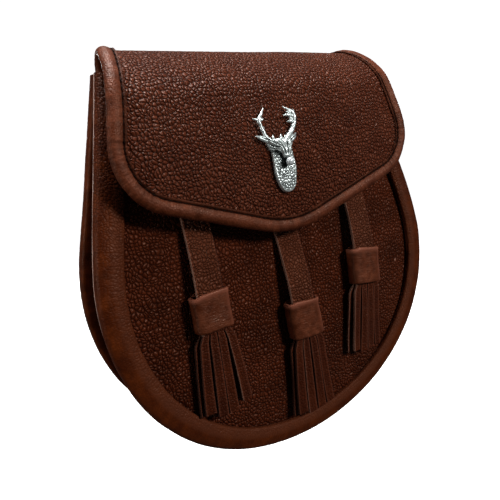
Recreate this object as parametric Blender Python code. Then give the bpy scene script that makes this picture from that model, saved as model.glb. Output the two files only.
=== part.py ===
"""Day sporran: a round-based leather belt pouch with a folded flap, three tassels and a stag-head badge.

Sizes are in millimetres and become metres when a mesh is made. X runs across the pouch, Y from
the front (negative) to the back, and Z up. Heights are measured from the lowest point of the pouch.
The part's origin is where the pouch hangs: on the belt line, at the middle of the back's rear face.
"""
import math

import bmesh
import bpy
import numpy as np
from mathutils import Euler, Matrix

MM = 0.001
GAP = 0.3                       # clearance between pieces that touch

# ---- the pouch's outline, seen from the front
HALF_WIDTH = 92.0               # at the widest level
WIDEST_LEVEL = 91.0
SIDE_TAPER = 0.256              # lean of the sides above the widest level
TAPER_BLEND = 18.0              # length over which the round base turns into the leaning side
BODY_TOP = 185.2
OUTLINE_STATIONS = 49
BASE_LEAN = 1.6                 # the base hangs this far to the left of the middle
BASE_FULLNESS = 2.04            # exponent of the base's curve: 2 is an ellipse
BACK_NARROWING = ({"height": 0.0, "amount": -0.8}, {"height": 36.0, "amount": -0.8}, {"height": 127.0, "amount": 2.2},
                  {"height": 140.0, "amount": 2.2}, {"height": 185.0, "amount": 1.2})
MOUTH_RADIUS = 150.0            # the front's top edge is cut to this curve
MOUTH_DROP = 15.0

# ---- how far the front stands from the back: a parabola through three levels
BODY_DEPTHS = ({"height": 0.0, "depth": 39.3},
               {"height": 96.0, "depth": 36.0},
               {"height": 185.0, "depth": 14.6})

# ---- leather walls
PANEL = 1.6
BACK_PANEL = 2.0
GUSSET = 1.4
FLAP = 1.8
STRAP = 1.6

# ---- front binding, a broad rounded band: depths are measured back from its front face
FRONT_BAND_WIDTH = 10.9
FRONT_BAND_LEFT_EXTRA = 1.0
FRONT_ROUND = 3.6
FRONT_SIDE = 4.5
FRONT_BAND_INSIDE = 3.0
PANEL_RECESS = FRONT_BAND_INSIDE + GAP
PANEL_INSET = 2.6
FLANGE_RECESS = PANEL_RECESS + PANEL + GAP

# ---- gusset, folded inwards between the two bound edges
SEAM_ALLOWANCE = 7.6
VALLEY = 3.0
BACK_EDGE_INSET = 1.8
REAR_FLANGE = -(BACK_PANEL + GAP)

# ---- back binding, a channel round the edge of the back
BACK_BAND_REAR = 7.5
BACK_BAND_FRONT = 6.2
BACK_BAND_WALL = 1.5
BACK_BAND_FRONT_FACE = -5.6

# ---- flap: depth of its leather's front face, a parabola through three levels
FLAP_DEPTHS = ({"height": 106.0, "depth": 41.8},
               {"height": 147.0, "depth": 38.7},
               {"height": 180.0, "depth": 30.3})
FLAP_CORNER_LEVEL = 133.7
FLAP_CORNER_HALF_WIDTH = 83.3
FLAP_TIP_LEVEL = 106.0
FLAP_TAPER = 0.203
FLAP_CORNER_RADIUS = 27.0
FLAP_TIP_RADIUS = 53.0
FLAP_SHOULDER_LEVEL = 172.0
FOLD_REAR_LEVEL = 184.8
FOLD_CROWN_LEVEL = 190.3        # middle of the leather at the top of the fold
FOLD_HALF_WIDTH = 68.0          # at the rear of the fold
FOLD_TILT = 1.5                 # the fold's left end is this much higher, its right end lower
FOLD_TILT_DEPTH = 6.0           # in front of the tail's plane by which the tilt is full
TAIL_LEVEL = 169.0
TAIL_HALF_WIDTH = 62.5
TAIL_DEPTH = GAP + FLAP / 2     # middle of the leather behind the back panel
FLAP_BINDING_END_LEVEL = 185.5
FLAP_COLUMNS = 22
FLAP_ROWS = 9

# ---- flap binding, a channel round the flap's edge
FLAP_BAND_WIDTH = 7.4
FLAP_EDGE_INSET = 2.5

# ---- tassels: where each hangs, how it leans, and its fringe
COLLAR_WIDTH = 18.4
COLLAR_DEPTH = 8.6
COLLAR_HEIGHT = 18.0
COLLAR_WALL = 1.6
STRAP_WIDTH = 12.9
STRAP_ENTERS = 5.5
STRAP_LIFT = 5.1                # how far its rear stands off the panel where it enters the collar
STRAP_SEAT = 8.0                # length of its upper end that lies on the panel
TASSELS = (
    {"name": "left", "x": -45.0, "strap_top_x": -43.6, "level": 80.9, "strap_top": 147.0,
     "lean": -2.0, "left": -11.8, "right": 11.0, "trims": (3.0, 0.4, 0.0, 3.2), "length": 41.5,
     "stray": 3, "stray_shift": (1.0, 1.8)},
    {"name": "middle", "x": 3.4, "strap_top_x": 1.6, "level": 65.2, "strap_top": 124.0,
     "lean": -5.0, "left": -12.6, "right": 10.2, "trims": (1.8, 0.0, 0.3, 1.0), "length": 43.0,
     "stray": 0, "stray_shift": (-1.0, 0.0)},
    {"name": "right", "x": 45.2, "strap_top_x": 46.6, "level": 82.4, "strap_top": 147.0,
     "lean": 1.5, "left": -11.5, "right": 8.0, "trims": (1.3, 0.0, 0.4, 1.6), "length": 38.6,
     "stray": 0, "stray_shift": (-2.4, 0.0)},
)
FRINGE_STRIPS = 4
FRINGE_FLARE_WIDTH = 8.6        # half width just below the collar
FRINGE_FLARE = 0.14             # where along the strips that is reached
FRINGE_SETTLES = (3.3, 2.7)     # how far the rear and front layers fall towards the panel
FRINGE_REAR_EXTRA = 1.8         # how much further left the rear layer reaches
FRINGE_HEAD_HALF_WIDTH = 7.0
FRINGE_HEAD_DEPTH = 4.4
FRINGE_HEAD_HEIGHT = 7.0

# ---- stag-head badge: across, up and out from the flap's face
BADGE_X = -2.5
BADGE_LEVEL = 145.1
NECK = ({"up": -18.3, "half": 1.6, "out": 1.2, "across": 2.2}, {"up": -17.2, "half": 3.4, "out": 1.9, "across": 1.9},
        {"up": -15.0, "half": 4.8, "out": 2.5, "across": 1.5}, {"up": -11.0, "half": 5.6, "out": 2.8, "across": 1.1},
        {"up": -5.0, "half": 5.6, "out": 2.9, "across": 0.7}, {"up": 0.0, "half": 5.3, "out": 3.0, "across": 0.4},
        {"up": 3.6, "half": 6.0, "out": 3.0, "across": 0.0}, {"up": 5.6, "half": 3.4, "out": 2.2, "across": 0.0})
HEAD = ({"up": 4.8, "lift": 1.8, "half": 2.4, "out": 1.4}, {"up": 3.0, "lift": 2.0, "half": 3.9, "out": 2.6},
        {"up": 0.2, "lift": 2.4, "half": 3.7, "out": 3.3}, {"up": -2.6, "lift": 3.6, "half": 2.5, "out": 2.8},
        {"up": -4.6, "lift": 4.6, "half": 1.9, "out": 2.3}, {"up": -6.0, "lift": 5.3, "half": 1.3, "out": 1.4})
ANTLER = ({"left": 3.4, "right": 3.4, "up": 3.2, "half": 1.35}, {"left": 5.6, "right": 5.8, "up": 5.2, "half": 1.25},
          {"left": 7.9, "right": 8.3, "up": 8.0, "half": 1.05}, {"left": 9.4, "right": 9.7, "up": 11.4, "half": 1.0},
          {"left": 9.1, "right": 9.8, "up": 14.6, "half": 0.95}, {"left": 7.4, "right": 8.7, "up": 17.4, "half": 0.8},
          {"left": 5.0, "right": 5.0, "up": 19.6, "half": 0.4})
TINES = ({"side": -1, "from": (9.0, 13.9), "to": (13.0, 14.9), "half": 0.8}, {"side": 1, "from": (9.3, 15.0), "to": (10.2, 17.8), "half": 0.7},
         {"side": -1, "from": (9.0, 14.9), "to": (5.9, 15.0), "half": 0.8}, {"side": 1, "from": (9.6, 14.9), "to": (4.1, 15.6), "half": 0.75},
         {"side": -1, "from": (8.8, 10.6), "to": (6.2, 10.8), "half": 0.75}, {"side": 1, "from": (9.5, 11.2), "to": (4.9, 12.2), "half": 0.75},
         {"side": -1, "from": (5.0, 4.4), "to": (12.9, 6.9), "half": 1.4}, {"side": 1, "from": (5.0, 3.8), "to": (9.9, 7.0), "half": 1.3},
         {"side": -1, "from": (2.6, 4.0), "to": (3.0, 7.1), "half": 1.1}, {"side": 1, "from": (1.6, 4.2), "to": (1.7, 7.3), "half": 1.1})
ANTLER_LIFT = 1.3

# ---- belt loops on the back, and the stud that holds the flap shut
LOOP_X = 36.0
LOOP_WIDTH = 24.0
LOOP_WALL = 1.8
LOOP_CLEAR = 6.0
LOOP_FOOT_LEVEL = 110.0
LOOP_RISE_LEVEL = 118.0
LOOP_FALL_LEVEL = 162.0
LOOP_HEAD_LEVEL = 168.0
LOOP_RAMP = 5.0
BELT_LEVEL = (LOOP_RISE_LEVEL + LOOP_FALL_LEVEL) / 2
STUD_LEVEL = 134.0
STUD_CAP_RADIUS = 5.5
STUD_POST_RADIUS = 3.2
STUD_CAP = 1.4


def parabola(rows):
    """Depth as a function of height: the parabola through three rows, and its slope."""
    (z0, d0), (z1, d1), (z2, d2) = [(row["height"], row["depth"]) for row in rows]
    first = (d1 - d0) / (z1 - z0)
    second = ((d2 - d1) / (z2 - z1) - first) / (z2 - z0)
    return (lambda z: d0 + (z - z0) * (first + second * (z - z1)),
            lambda z: first + second * (2 * z - z0 - z1))


body_depth, body_slope = parabola(BODY_DEPTHS)
flap_depth, flap_slope = parabola(FLAP_DEPTHS)


def even_points(points, count):
    """The polyline resampled to count points at equal distances along it."""
    points = np.asarray(points, float)
    run = np.concatenate([[0], np.cumsum(np.hypot(*np.diff(points, axis=0).T))])
    marks = np.linspace(0, run[-1], count)
    return np.column_stack([np.interp(marks, run, points[:, k]) for k in (0, 1)])


def outward(points):
    """Unit normals of a polyline that runs down the left side and up the right side."""
    along = np.gradient(points, axis=0)
    along /= np.linalg.norm(along, axis=1)[:, None]
    return np.column_stack([along[:, 1], -along[:, 0]])


def body_outline(count):
    """The pouch's outline in the XZ plane, from the top left round the base to the top right."""
    turn = np.linspace(0, math.pi / 2, 60)
    power = 2 / BASE_FULLNESS
    base = np.column_stack([HALF_WIDTH * np.sin(turn) ** power, WIDEST_LEVEL * (1 - np.cos(turn) ** power)])
    rise = np.linspace(0, BODY_TOP - WIDEST_LEVEL, 60)[1:]
    lean = SIDE_TAPER * (np.sqrt(rise ** 2 + TAPER_BLEND ** 2) - TAPER_BLEND)
    right = np.vstack([base, np.column_stack([HALF_WIDTH - lean, WIDEST_LEVEL + rise])])
    line = np.vstack([(right * (-1, 1))[::-1], right[1:]])
    line[:, 0] -= BASE_LEAN * np.clip(1 - line[:, 1] / WIDEST_LEVEL, 0, 1) ** 2
    return even_points(line, count)


def narrowed(x, level, share):
    """A point's distance across after the back's narrowing: share is 1 at the front, 0 at the back."""
    amount = np.interp(level, [row["height"] for row in BACK_NARROWING], [row["amount"] for row in BACK_NARROWING])
    return x * (1 - (1 - share) * float(amount) / HALF_WIDTH)


def rounded_corner(before, corner, after, radius, steps):
    """The arc of that radius which rounds the corner of a path."""
    back = (before - corner) / np.linalg.norm(before - corner)
    on = (after - corner) / np.linalg.norm(after - corner)
    half = math.acos(back @ on) / 2
    centre = corner + (back + on) / np.linalg.norm(back + on) * radius / math.sin(half)
    start = corner + back * radius / math.tan(half) - centre
    first = math.atan2(start[1], start[0])
    end = corner + on * radius / math.tan(half) - centre
    sweep = (math.atan2(end[1], end[0]) - first + math.pi) % (2 * math.pi) - math.pi
    angles = first + sweep * np.linspace(0, 1, steps)
    return centre + radius * np.column_stack([np.cos(angles), np.sin(angles)])


def make_object(name, vertices, faces, material, smooth=True):
    """A mesh object from vertices in millimetres, hung from the part's origin."""
    mesh = bpy.data.meshes.new(name)
    mesh.from_pydata([tuple(MM * float(c) for c in v) for v in vertices], [], faces)
    solid = bmesh.new()
    solid.from_mesh(mesh)
    bmesh.ops.recalc_face_normals(solid, faces=solid.faces)
    bmesh.ops.triangulate(solid, faces=[f for f in solid.faces if len(f.verts) > 4])
    solid.to_mesh(mesh)
    solid.free()
    if smooth:
        mesh.shade_smooth()
        mesh.set_sharp_from_angle(angle=math.radians(35))
    mesh.materials.append(material)
    body = bpy.data.objects.new(name, mesh)
    bpy.context.scene.collection.objects.link(body)
    body.parent = bpy.data.objects["belt_line"]
    return body


def loft(rings):
    """Vertices and faces of a closed solid that passes through equal rings, capped at both ends."""
    size = len(rings[0])
    vertices = [v for ring in rings for v in ring]
    faces = [(size * k + i, size * k + (i + 1) % size, size * (k + 1) + (i + 1) % size, size * (k + 1) + i)
             for k in range(len(rings) - 1) for i in range(size)]
    faces.append(tuple(range(size)))
    faces.append(tuple(range(size * (len(rings) - 1), size * len(rings))))
    return vertices, faces


def sheet(front, rear):
    """Vertices and faces of a wall between two equal grids of points, closed round its edge."""
    rows, columns = len(front), len(front[0])
    vertices = [v for grid in (front, rear) for row in grid for v in row]
    other = rows * columns
    faces = []
    for r in range(rows - 1):
        for c in range(columns - 1):
            a, b = r * columns + c, (r + 1) * columns + c
            faces += [(a, a + 1, b + 1, b), (other + a, other + b, other + b + 1, other + a + 1)]
    rim = ([c for c in range(columns)] + [r * columns + columns - 1 for r in range(1, rows)]
           + [(rows - 1) * columns + c for c in range(columns - 2, -1, -1)]
           + [r * columns for r in range(rows - 2, 0, -1)])
    faces += [(a, other + a, other + b, b) for a, b in zip(rim, rim[1:] + rim[:1])]
    return vertices, faces


def band_round_body(name, section, material, left_extra=0.0):
    """A band carried along the outline. A section row is (inset, share, offset): the corner lies
    inset from the outline, at depth offset - share * the pouch's depth at its own height. Insets
    past the middle of the band grow by left_extra on the left side and shrink by it on the right."""
    line = body_outline(OUTLINE_STATIONS)
    widest = max(row[0] for row in section)
    rings = []
    for (x, z), (nx, nz) in zip(line, outward(line)):
        ring = []
        for inset, share, offset in section:
            inset -= left_extra * nx * max(0.0, inset / widest - 0.5) * 2
            level = z - inset * nz
            ring.append((narrowed(x - inset * nx, level, share), offset - share * body_depth(level), level))
        rings.append(ring)
    return make_object(name, *loft(rings), material)


def panel_in_outline(name, inset, share, front, rear, material):
    """A leather panel filling the outline: front and rear give the depth of its faces at a height."""
    line = body_outline(OUTLINE_STATIONS)
    inner = line - inset * outward(line)
    inner[0, 1] = inner[-1, 1] = BODY_TOP
    rows = [(inner[k], inner[-1 - k]) for k in range(OUTLINE_STATIONS // 2)]
    faces = [[[(narrowed(x, z, share), depth(z), z) for x, z in row] for row in rows] for depth in (front, rear)]
    return make_object(name, *sheet(*faces), material)


def cut_mouth(front, leather):
    """The front's top edge dips in the middle, so that a hand can reach in."""
    middle = BODY_TOP + MOUTH_RADIUS - MOUTH_DROP
    half = 0.55
    arc = [(MOUTH_RADIUS * math.sin(a), middle - MOUTH_RADIUS * math.cos(a)) for a in np.linspace(-half, half, 31)]
    arc += [(MOUTH_RADIUS * math.sin(half), middle), (-MOUTH_RADIUS * math.sin(half), middle)]
    cutter = make_object("mouth_cutter", *loft([[(x, y, z) for x, z in arc] for y in (-60.0, 20.0)]), leather, False)
    cutter.hide_render = True
    cutter.display_type = "WIRE"
    cut = front.modifiers.new("mouth", "BOOLEAN")
    cut.operation = "DIFFERENCE"
    cut.solver = "EXACT"
    cut.object = cutter


def build_body(leather, smooth_leather):
    """Back, gusset, front and the two bindings that hold their edges."""
    panel_in_outline("back_panel", BACK_EDGE_INSET, 0, lambda z: -BACK_PANEL, lambda z: 0.0, leather)
    front = panel_in_outline("front_panel", PANEL_INSET, 1, lambda z: PANEL_RECESS - body_depth(z),
                             lambda z: PANEL_RECESS + PANEL - body_depth(z), leather)
    cut_mouth(front, leather)

    corner = [math.radians(a) for a in (0, 30, 60, 90)]
    front = [(0.0, 1, FRONT_SIDE)]
    front += [(FRONT_ROUND * (1 - math.cos(a)), 1, FRONT_ROUND * (1 - math.sin(a))) for a in corner]
    front += [(7.0, 1, -0.2), (FRONT_BAND_WIDTH - 1.2, 1, 0.5), (FRONT_BAND_WIDTH, 1, 1.6),
              (FRONT_BAND_WIDTH, 1, FRONT_BAND_INSIDE), (PANEL_INSET - GAP, 1, FRONT_BAND_INSIDE),
              (PANEL_INSET - GAP, 1, FRONT_SIDE)]
    band_round_body("front_binding", front, smooth_leather, FRONT_BAND_LEFT_EXTRA)

    inner, outer = [], []
    for part in (0.0, 0.2, 0.5, 0.8, 1.0):
        fold = VALLEY * math.sin(math.pi * part)
        inner.append((SEAM_ALLOWANCE + GUSSET + fold, 1 - part,
                      FLANGE_RECESS + (REAR_FLANGE - FLANGE_RECESS) * part))
        outer.append((SEAM_ALLOWANCE + fold, 1 - part,
                      FLANGE_RECESS + GUSSET + (REAR_FLANGE - 2 * GUSSET - FLANGE_RECESS) * part))
    gusset = [(GAP, 1, FLANGE_RECESS)] + inner + [(BACK_EDGE_INSET, 0, REAR_FLANGE)]
    gusset += [(BACK_EDGE_INSET, 0, REAR_FLANGE - GUSSET)] + outer[::-1]
    gusset += [(GAP, 1, FLANGE_RECESS + GUSSET)]
    band_round_body("gusset", gusset, smooth_leather)

    back = [(BACK_BAND_REAR, GAP + 1.4), (2.4, GAP + 1.6), (0.7, 1.2), (0.0, -0.2), (0.0, -4.0),
            (0.7, -5.2), (2.4, BACK_BAND_FRONT_FACE - 0.1), (BACK_BAND_FRONT, BACK_BAND_FRONT_FACE),
            (BACK_BAND_FRONT, REAR_FLANGE - GUSSET - GAP), (BACK_BAND_WALL, REAR_FLANGE - GUSSET - GAP),
            (BACK_BAND_WALL, GAP), (BACK_BAND_REAR, GAP)]
    band_round_body("back_binding", [(inset, 0, y) for inset, y in back], smooth_leather)


class FlapSurface:
    """The flap's middle surface. A point is given flat, before folding: across, along the
    leather from the tail's lower edge, and outwards from the middle of the leather."""

    def __init__(self):
        fold = 2 * (FLAP_SHOULDER_LEVEL + FOLD_REAR_LEVEL)
        top = np.array([-self.front(FLAP_SHOULDER_LEVEL), FLAP_SHOULDER_LEVEL])
        lean = np.array([-flap_slope(FLAP_SHOULDER_LEVEL), 1.0])
        lean /= np.linalg.norm(lean)
        reach = (8 * FOLD_CROWN_LEVEL - 2 * fold) / (3 * (1 + lean[1]))
        rear = np.array([TAIL_DEPTH, FOLD_REAR_LEVEL])
        handles = (rear, rear + (0, reach), top + reach * lean, top)
        t = np.linspace(0, 1, 60)[:, None]
        weights = ((1 - t) ** 3, 3 * t * (1 - t) ** 2, 3 * t ** 2 * (1 - t), t ** 3)
        arch = sum(w * h for w, h in zip(weights, handles))
        drop = np.linspace(FLAP_SHOULDER_LEVEL, FLAP_TIP_LEVEL - 6, 60)[1:]
        face = np.column_stack([-self.front(drop), drop])
        self.path = np.vstack([[(TAIL_DEPTH, TAIL_LEVEL)], arch, face])
        self.run = np.concatenate([[0], np.cumsum(np.hypot(*np.diff(self.path, axis=0).T))])
        along = np.gradient(self.path, self.run, axis=0)
        along /= np.linalg.norm(along, axis=1)[:, None]
        self.normal = np.column_stack([along[:, 1], -along[:, 0]]) * -1.0

    @staticmethod
    def front(level):
        """Depth of the middle of the leather in front of the back."""
        return flap_depth(level) - FLAP / 2

    def at(self, across, along, out=0.0):
        """The point in space of a flat point of the leather."""
        y, z = (np.interp(along, self.run, self.path[:, k]) for k in (0, 1))
        ny, nz = (np.interp(along, self.run, self.normal[:, k]) for k in (0, 1))
        rise = max(0.0, (z - FLAP_SHOULDER_LEVEL) / (FOLD_CROWN_LEVEL - FLAP_SHOULDER_LEVEL))
        ahead = min(1.0, max(0.0, (TAIL_DEPTH - y) / FOLD_TILT_DEPTH))
        tilt = FOLD_TILT * across / FLAP_CORNER_HALF_WIDTH * rise * rise * ahead
        return across, y - out * ny, z - out * nz - tilt

    def along_front(self, level):
        """Distance along the leather to that height on the front face."""
        face = self.path[:, 0] < -self.front(FLAP_SHOULDER_LEVEL) + 1e-6
        return float(np.interp(-level, -self.path[face, 1], self.run[face]))

    def along_rear(self, level):
        """Distance along the leather to that height on the rear of the fold."""
        rise = self.path[:int(np.argmax(self.path[:, 1])) + 1, 1]
        return float(np.interp(level, rise, self.run[:len(rise)]))


def flap_outline(surface):
    """The flap's flat outline: from its rear left end, down the side, round the point and back up."""
    corner_along = surface.along_front(FLAP_CORNER_LEVEL)
    start_along = surface.along_rear(FLAP_BINDING_END_LEVEL)
    start = np.array([-FOLD_HALF_WIDTH, start_along])
    corner = np.array([-FLAP_CORNER_HALF_WIDTH, corner_along])
    tip = np.array([0.0, surface.along_front(FLAP_TIP_LEVEL)])
    mirrored = corner * (-1, 1)
    crown = corner + (corner[0] + FOLD_HALF_WIDTH) / FLAP_TAPER * np.array([-FLAP_TAPER, 1.0])
    side = rounded_corner(crown, corner, tip, FLAP_CORNER_RADIUS, 9)
    point = rounded_corner(corner, tip, mirrored, FLAP_TIP_RADIUS, 5)
    return start, crown, side, point


def fold_marks(surface):
    """Distances along the leather at which the fold is divided, from the binding's end to the shoulder."""
    start, crown = flap_outline(surface)[:2]
    shoulder = surface.along_front(FLAP_SHOULDER_LEVEL)
    return np.concatenate([np.linspace(start[1], crown[1], 5)[:-1], np.linspace(crown[1], shoulder, 9)])


def flap_edge(surface, inset, count):
    """The flap's outline moved inwards: its left side's corner start, and its lower edge."""
    start, crown, side, point = flap_outline(surface)
    lower = np.vstack([side, point, (side * (-1, 1))[::-1]])
    lower = even_points(lower, count)
    along = np.gradient(lower, axis=0)
    along /= np.linalg.norm(along, axis=1)[:, None]
    return start, lower - inset * np.column_stack([-along[:, 1], along[:, 0]])


def build_flap(leather, smooth_leather):
    """The flap, folded over the top, and the binding along its edge."""
    surface = FlapSurface()
    start, lower = flap_edge(surface, FLAP_EDGE_INSET, FLAP_COLUMNS + 1)
    share = np.linspace(-1, 1, FLAP_COLUMNS + 1)

    def half_width(along):
        reach = surface.along_front(FLAP_CORNER_LEVEL) - along
        return max(FOLD_HALF_WIDTH, FLAP_CORNER_HALF_WIDTH - FLAP_TAPER * reach) - FLAP_EDGE_INSET

    flat = [[(TAIL_HALF_WIDTH * s, along) for s in share] for along in (0.0, start[1] - 0.1)]
    for along in fold_marks(surface):
        flat.append([(half_width(along) * s, along) for s in share])
    top = np.array(flat[-1])
    for part in np.linspace(0, 1, FLAP_ROWS + 1)[1:]:
        flat.append([tuple(p) for p in top + (lower - top) * part])
    grids = [[[surface.at(x, along, out) for x, along in row] for row in flat] for out in (FLAP / 2, -FLAP / 2)]
    make_object("flap", *sheet(*grids), leather)

    start, crown, side, point = flap_outline(surface)
    marks = fold_marks(surface)
    widths = np.interp(marks, [start[1], crown[1], side[0][1]], [start[0], crown[0], side[0][0]])
    upright = np.column_stack([widths, marks])
    upright = np.vstack([upright, np.linspace(upright[-1], side[0], 4)[1:-1]])
    slant = np.linspace(side[-1], point[0], 7)[1:-1]
    left = np.vstack([upright, side, slant, point[:3]])
    line = np.vstack([left, (left * (-1, 1))[::-1][1:]])
    along = np.gradient(line, axis=0)
    along /= np.linalg.norm(along, axis=1)[:, None]
    normals = np.column_stack([-along[:, 1], along[:, 0]])
    inside = FLAP / 2 + GAP
    section = [(FLAP_BAND_WIDTH, inside), (FLAP_BAND_WIDTH, inside + 0.6), (6.4, 2.0), (3.8, 2.3), (1.4, 1.9),
               (0.0, 0.4), (0.0, -0.7), (1.4, -2.0), (3.8, -2.4), (FLAP_BAND_WIDTH, -2.2), (FLAP_BAND_WIDTH, -inside),
               (FLAP_EDGE_INSET - GAP, -inside), (FLAP_EDGE_INSET - GAP, inside)]
    rings = [[surface.at(x - inset * nx, s - inset * ns, out) for inset, out in section]
             for (x, s), (nx, ns) in zip(line, normals)]
    make_object("flap_binding", *loft(rings), smooth_leather)
    return surface


def superellipse(half_x, half_y, exponent, count):
    """A rounded rectangle, as points round its middle."""
    angles = [2 * math.pi * k / count for k in range(count)]
    power = 2 / exponent
    return [(math.copysign(half_x * abs(math.cos(a)) ** power, math.cos(a)),
             math.copysign(half_y * abs(math.sin(a)) ** power, math.sin(a))) for a in angles]


def collar_mesh():
    """A flattened leather tube, standing off the panel, with its axis up."""
    middle = -(GAP + COLLAR_DEPTH / 2)
    outer = superellipse(COLLAR_WIDTH / 2, COLLAR_DEPTH / 2, 3.6, 20)
    inner = superellipse(COLLAR_WIDTH / 2 - COLLAR_WALL, COLLAR_DEPTH / 2 - COLLAR_WALL, 6.0, 20)
    top = COLLAR_HEIGHT / 2
    rings = [[(x, middle + y, z) for x, y in ring]
             for ring, z in ((outer, -top), (outer, top), (inner, top), (inner, -top))]
    size = len(outer)
    vertices = [v for ring in rings for v in ring]
    faces = [(size * k + i, size * k + (i + 1) % size, size * ((k + 1) % 4) + (i + 1) % size, size * ((k + 1) % 4) + i)
             for k in range(4) for i in range(size)]
    return vertices, faces


def fringe_mesh(tassel):
    """A block inside the collar from which two layers of leather strips hang."""
    top = -COLLAR_HEIGHT / 2 + FRINGE_HEAD_HEIGHT
    root = -COLLAR_HEIGHT / 2
    nearest = -(GAP + COLLAR_DEPTH / 2) + FRINGE_HEAD_DEPTH / 2
    width = 2 * FRINGE_HEAD_HALF_WIDTH / FRINGE_STRIPS
    depth = FRINGE_HEAD_DEPTH / 2
    xs = [-FRINGE_HEAD_HALF_WIDTH + width * k for k in range(FRINGE_STRIPS + 1)]
    ys = [nearest - depth * k for k in range(3)]
    vertices = [(x, y, root) for y in ys for x in xs] + [(x, y, top) for y in ys for x in xs]
    columns = FRINGE_STRIPS + 1
    upper = 3 * columns
    faces = []
    for j in range(2):
        for i in range(FRINGE_STRIPS):
            a = j * columns + i
            faces.append((upper + a, upper + a + columns, upper + a + columns + 1, upper + a + 1))
            cell = (a, a + 1, a + columns + 1, a + columns)
            faces += strip_faces(vertices, cell, tassel, i, j, root)
    for i in range(FRINGE_STRIPS):
        rear = 2 * columns + i
        faces += [(i, upper + i, upper + i + 1, i + 1), (rear, rear + 1, upper + rear + 1, upper + rear)]
    for j in range(2):
        left, right = j * columns, j * columns + FRINGE_STRIPS
        faces += [(left, left + columns, upper + left + columns, upper + left),
                  (right, upper + right, upper + right + columns, right + columns)]
    return vertices, faces


def strip_faces(vertices, cell, tassel, column, layer, root):
    """One strip grown down from a cell of the block's underside: adds its vertices, returns its faces."""
    corners = [vertices[k] for k in cell]
    middle = [sum(c[k] for c in corners) / 4 for k in (0, 1)]
    thick = 0.75
    place = (column + 0.5) / FRINGE_STRIPS * 2 - 1
    length = tassel["length"] - tassel["trims"][column] - 0.7 * layer
    stray = tassel["stray_shift"][layer] if column == tassel["stray"] else 0.0
    rings = []
    for part in (0.0, FRINGE_FLARE, 0.5, 1.0):
        flare = min(1.0, part / FRINGE_FLARE)
        down = max(0.0, part - FRINGE_FLARE) / (1 - FRINGE_FLARE)
        wide = FRINGE_HEAD_HALF_WIDTH + (FRINGE_FLARE_WIDTH - FRINGE_HEAD_HALF_WIDTH) * flare
        left = -wide + (tassel["left"] + wide) * down - FRINGE_REAR_EXTRA * flare * (1 - layer)
        right = wide + (tassel["right"] - wide) * down
        x = (left + right) / 2 + (right - left) / 2 * place + stray * down
        y = middle[1] + FRINGE_SETTLES[layer] * down
        half = (right - left) / 2 / FRINGE_STRIPS - 0.16
        z = root - length * part
        rings.append([(x - half, y + thick, z), (x + half, y + thick, z), (x + half, y - thick, z), (x - half, y - thick, z)])
    first = len(vertices)
    for ring in rings:
        vertices.extend(ring)
    faces = [(cell[i], cell[(i + 1) % 4], first + (i + 1) % 4, first + i) for i in range(4)]
    for k in range(len(rings) - 1):
        a, b = first + 4 * k, first + 4 * (k + 1)
        faces += [(a + i, a + (i + 1) % 4, b + (i + 1) % 4, b + i) for i in range(4)]
    last = first + 4 * (len(rings) - 1)
    faces.append((last, last + 1, last + 2, last + 3))
    return faces


def build_tassels(leather, smooth_leather):
    """Three tassels: a strap down the front panel, a leather collar, and the fringe that it grips."""
    collar = None
    for tassel in TASSELS:
        panel_face = -(body_depth(tassel["level"]) - PANEL_RECESS)
        turn = Euler((math.atan(body_slope(tassel["level"])), math.radians(tassel["lean"]), 0.0), "XYZ")
        place = Matrix.Translation((tassel["x"] * MM, panel_face * MM, tassel["level"] * MM)) @ turn.to_matrix().to_4x4()
        if collar is None:
            piece = make_object("tassel_collar_" + tassel["name"], *collar_mesh(), smooth_leather)
            collar = piece.data
        else:
            piece = bpy.data.objects.new("tassel_collar_" + tassel["name"], collar)
            bpy.context.scene.collection.objects.link(piece)
            piece.parent = bpy.data.objects["belt_line"]
        piece.matrix_basis = place
        fringe = make_object("tassel_fringe_" + tassel["name"], *fringe_mesh(tassel), leather)
        fringe.matrix_basis = place
        build_strap(tassel, place, leather)


def build_strap(tassel, place, leather):
    """The strap's upper end lies on the front panel; below, it leans out to enter the collar's front."""
    inside = COLLAR_HEIGHT / 2 - STRAP_ENTERS
    end = place @ Matrix.Translation((0.0, 0.0, inside * MM)).to_translation()
    lowest = end.z / MM
    collar_top = (place @ Matrix.Translation((0.0, 0.0, COLLAR_HEIGHT / 2 * MM)).to_translation()).z / MM
    seat = tassel["strap_top"] - STRAP_SEAT
    levels = [tassel["strap_top"], *np.linspace(seat, collar_top, 10), lowest]
    rows = ([], [])
    for level in levels:
        down = (tassel["strap_top"] - level) / (tassel["strap_top"] - lowest)
        x = tassel["strap_top_x"] + (end.x / MM - tassel["strap_top_x"]) * down
        near = min(1.0, max(0.0, (seat - level) / (seat - collar_top)))
        lift = GAP + (STRAP_LIFT - GAP) * near * near * (3 - 2 * near)
        face = PANEL_RECESS - body_depth(level) - lift
        for row, y in zip(rows, (face - STRAP, face)):
            row.append([(x - STRAP_WIDTH / 2, y, level), (x + STRAP_WIDTH / 2, y, level)])
    make_object("tassel_strap_" + tassel["name"], *sheet(*rows), leather)


def tube(points, halves, height):
    """A tapering oval bar in badge coordinates, through points given as (across, up, out)."""
    points = np.asarray(points, float)
    along = np.gradient(points, axis=0)
    rings = []
    for point, direction, half in zip(points, along, halves):
        side = np.array([direction[1], -direction[0], 0.0])
        side /= np.linalg.norm(side)
        rings.append([tuple(point + half * math.cos(a) * side + (0, 0, half * height * math.sin(a)))
                      for a in (2 * math.pi * k / 6 for k in range(6))])
    return loft(rings)


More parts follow.
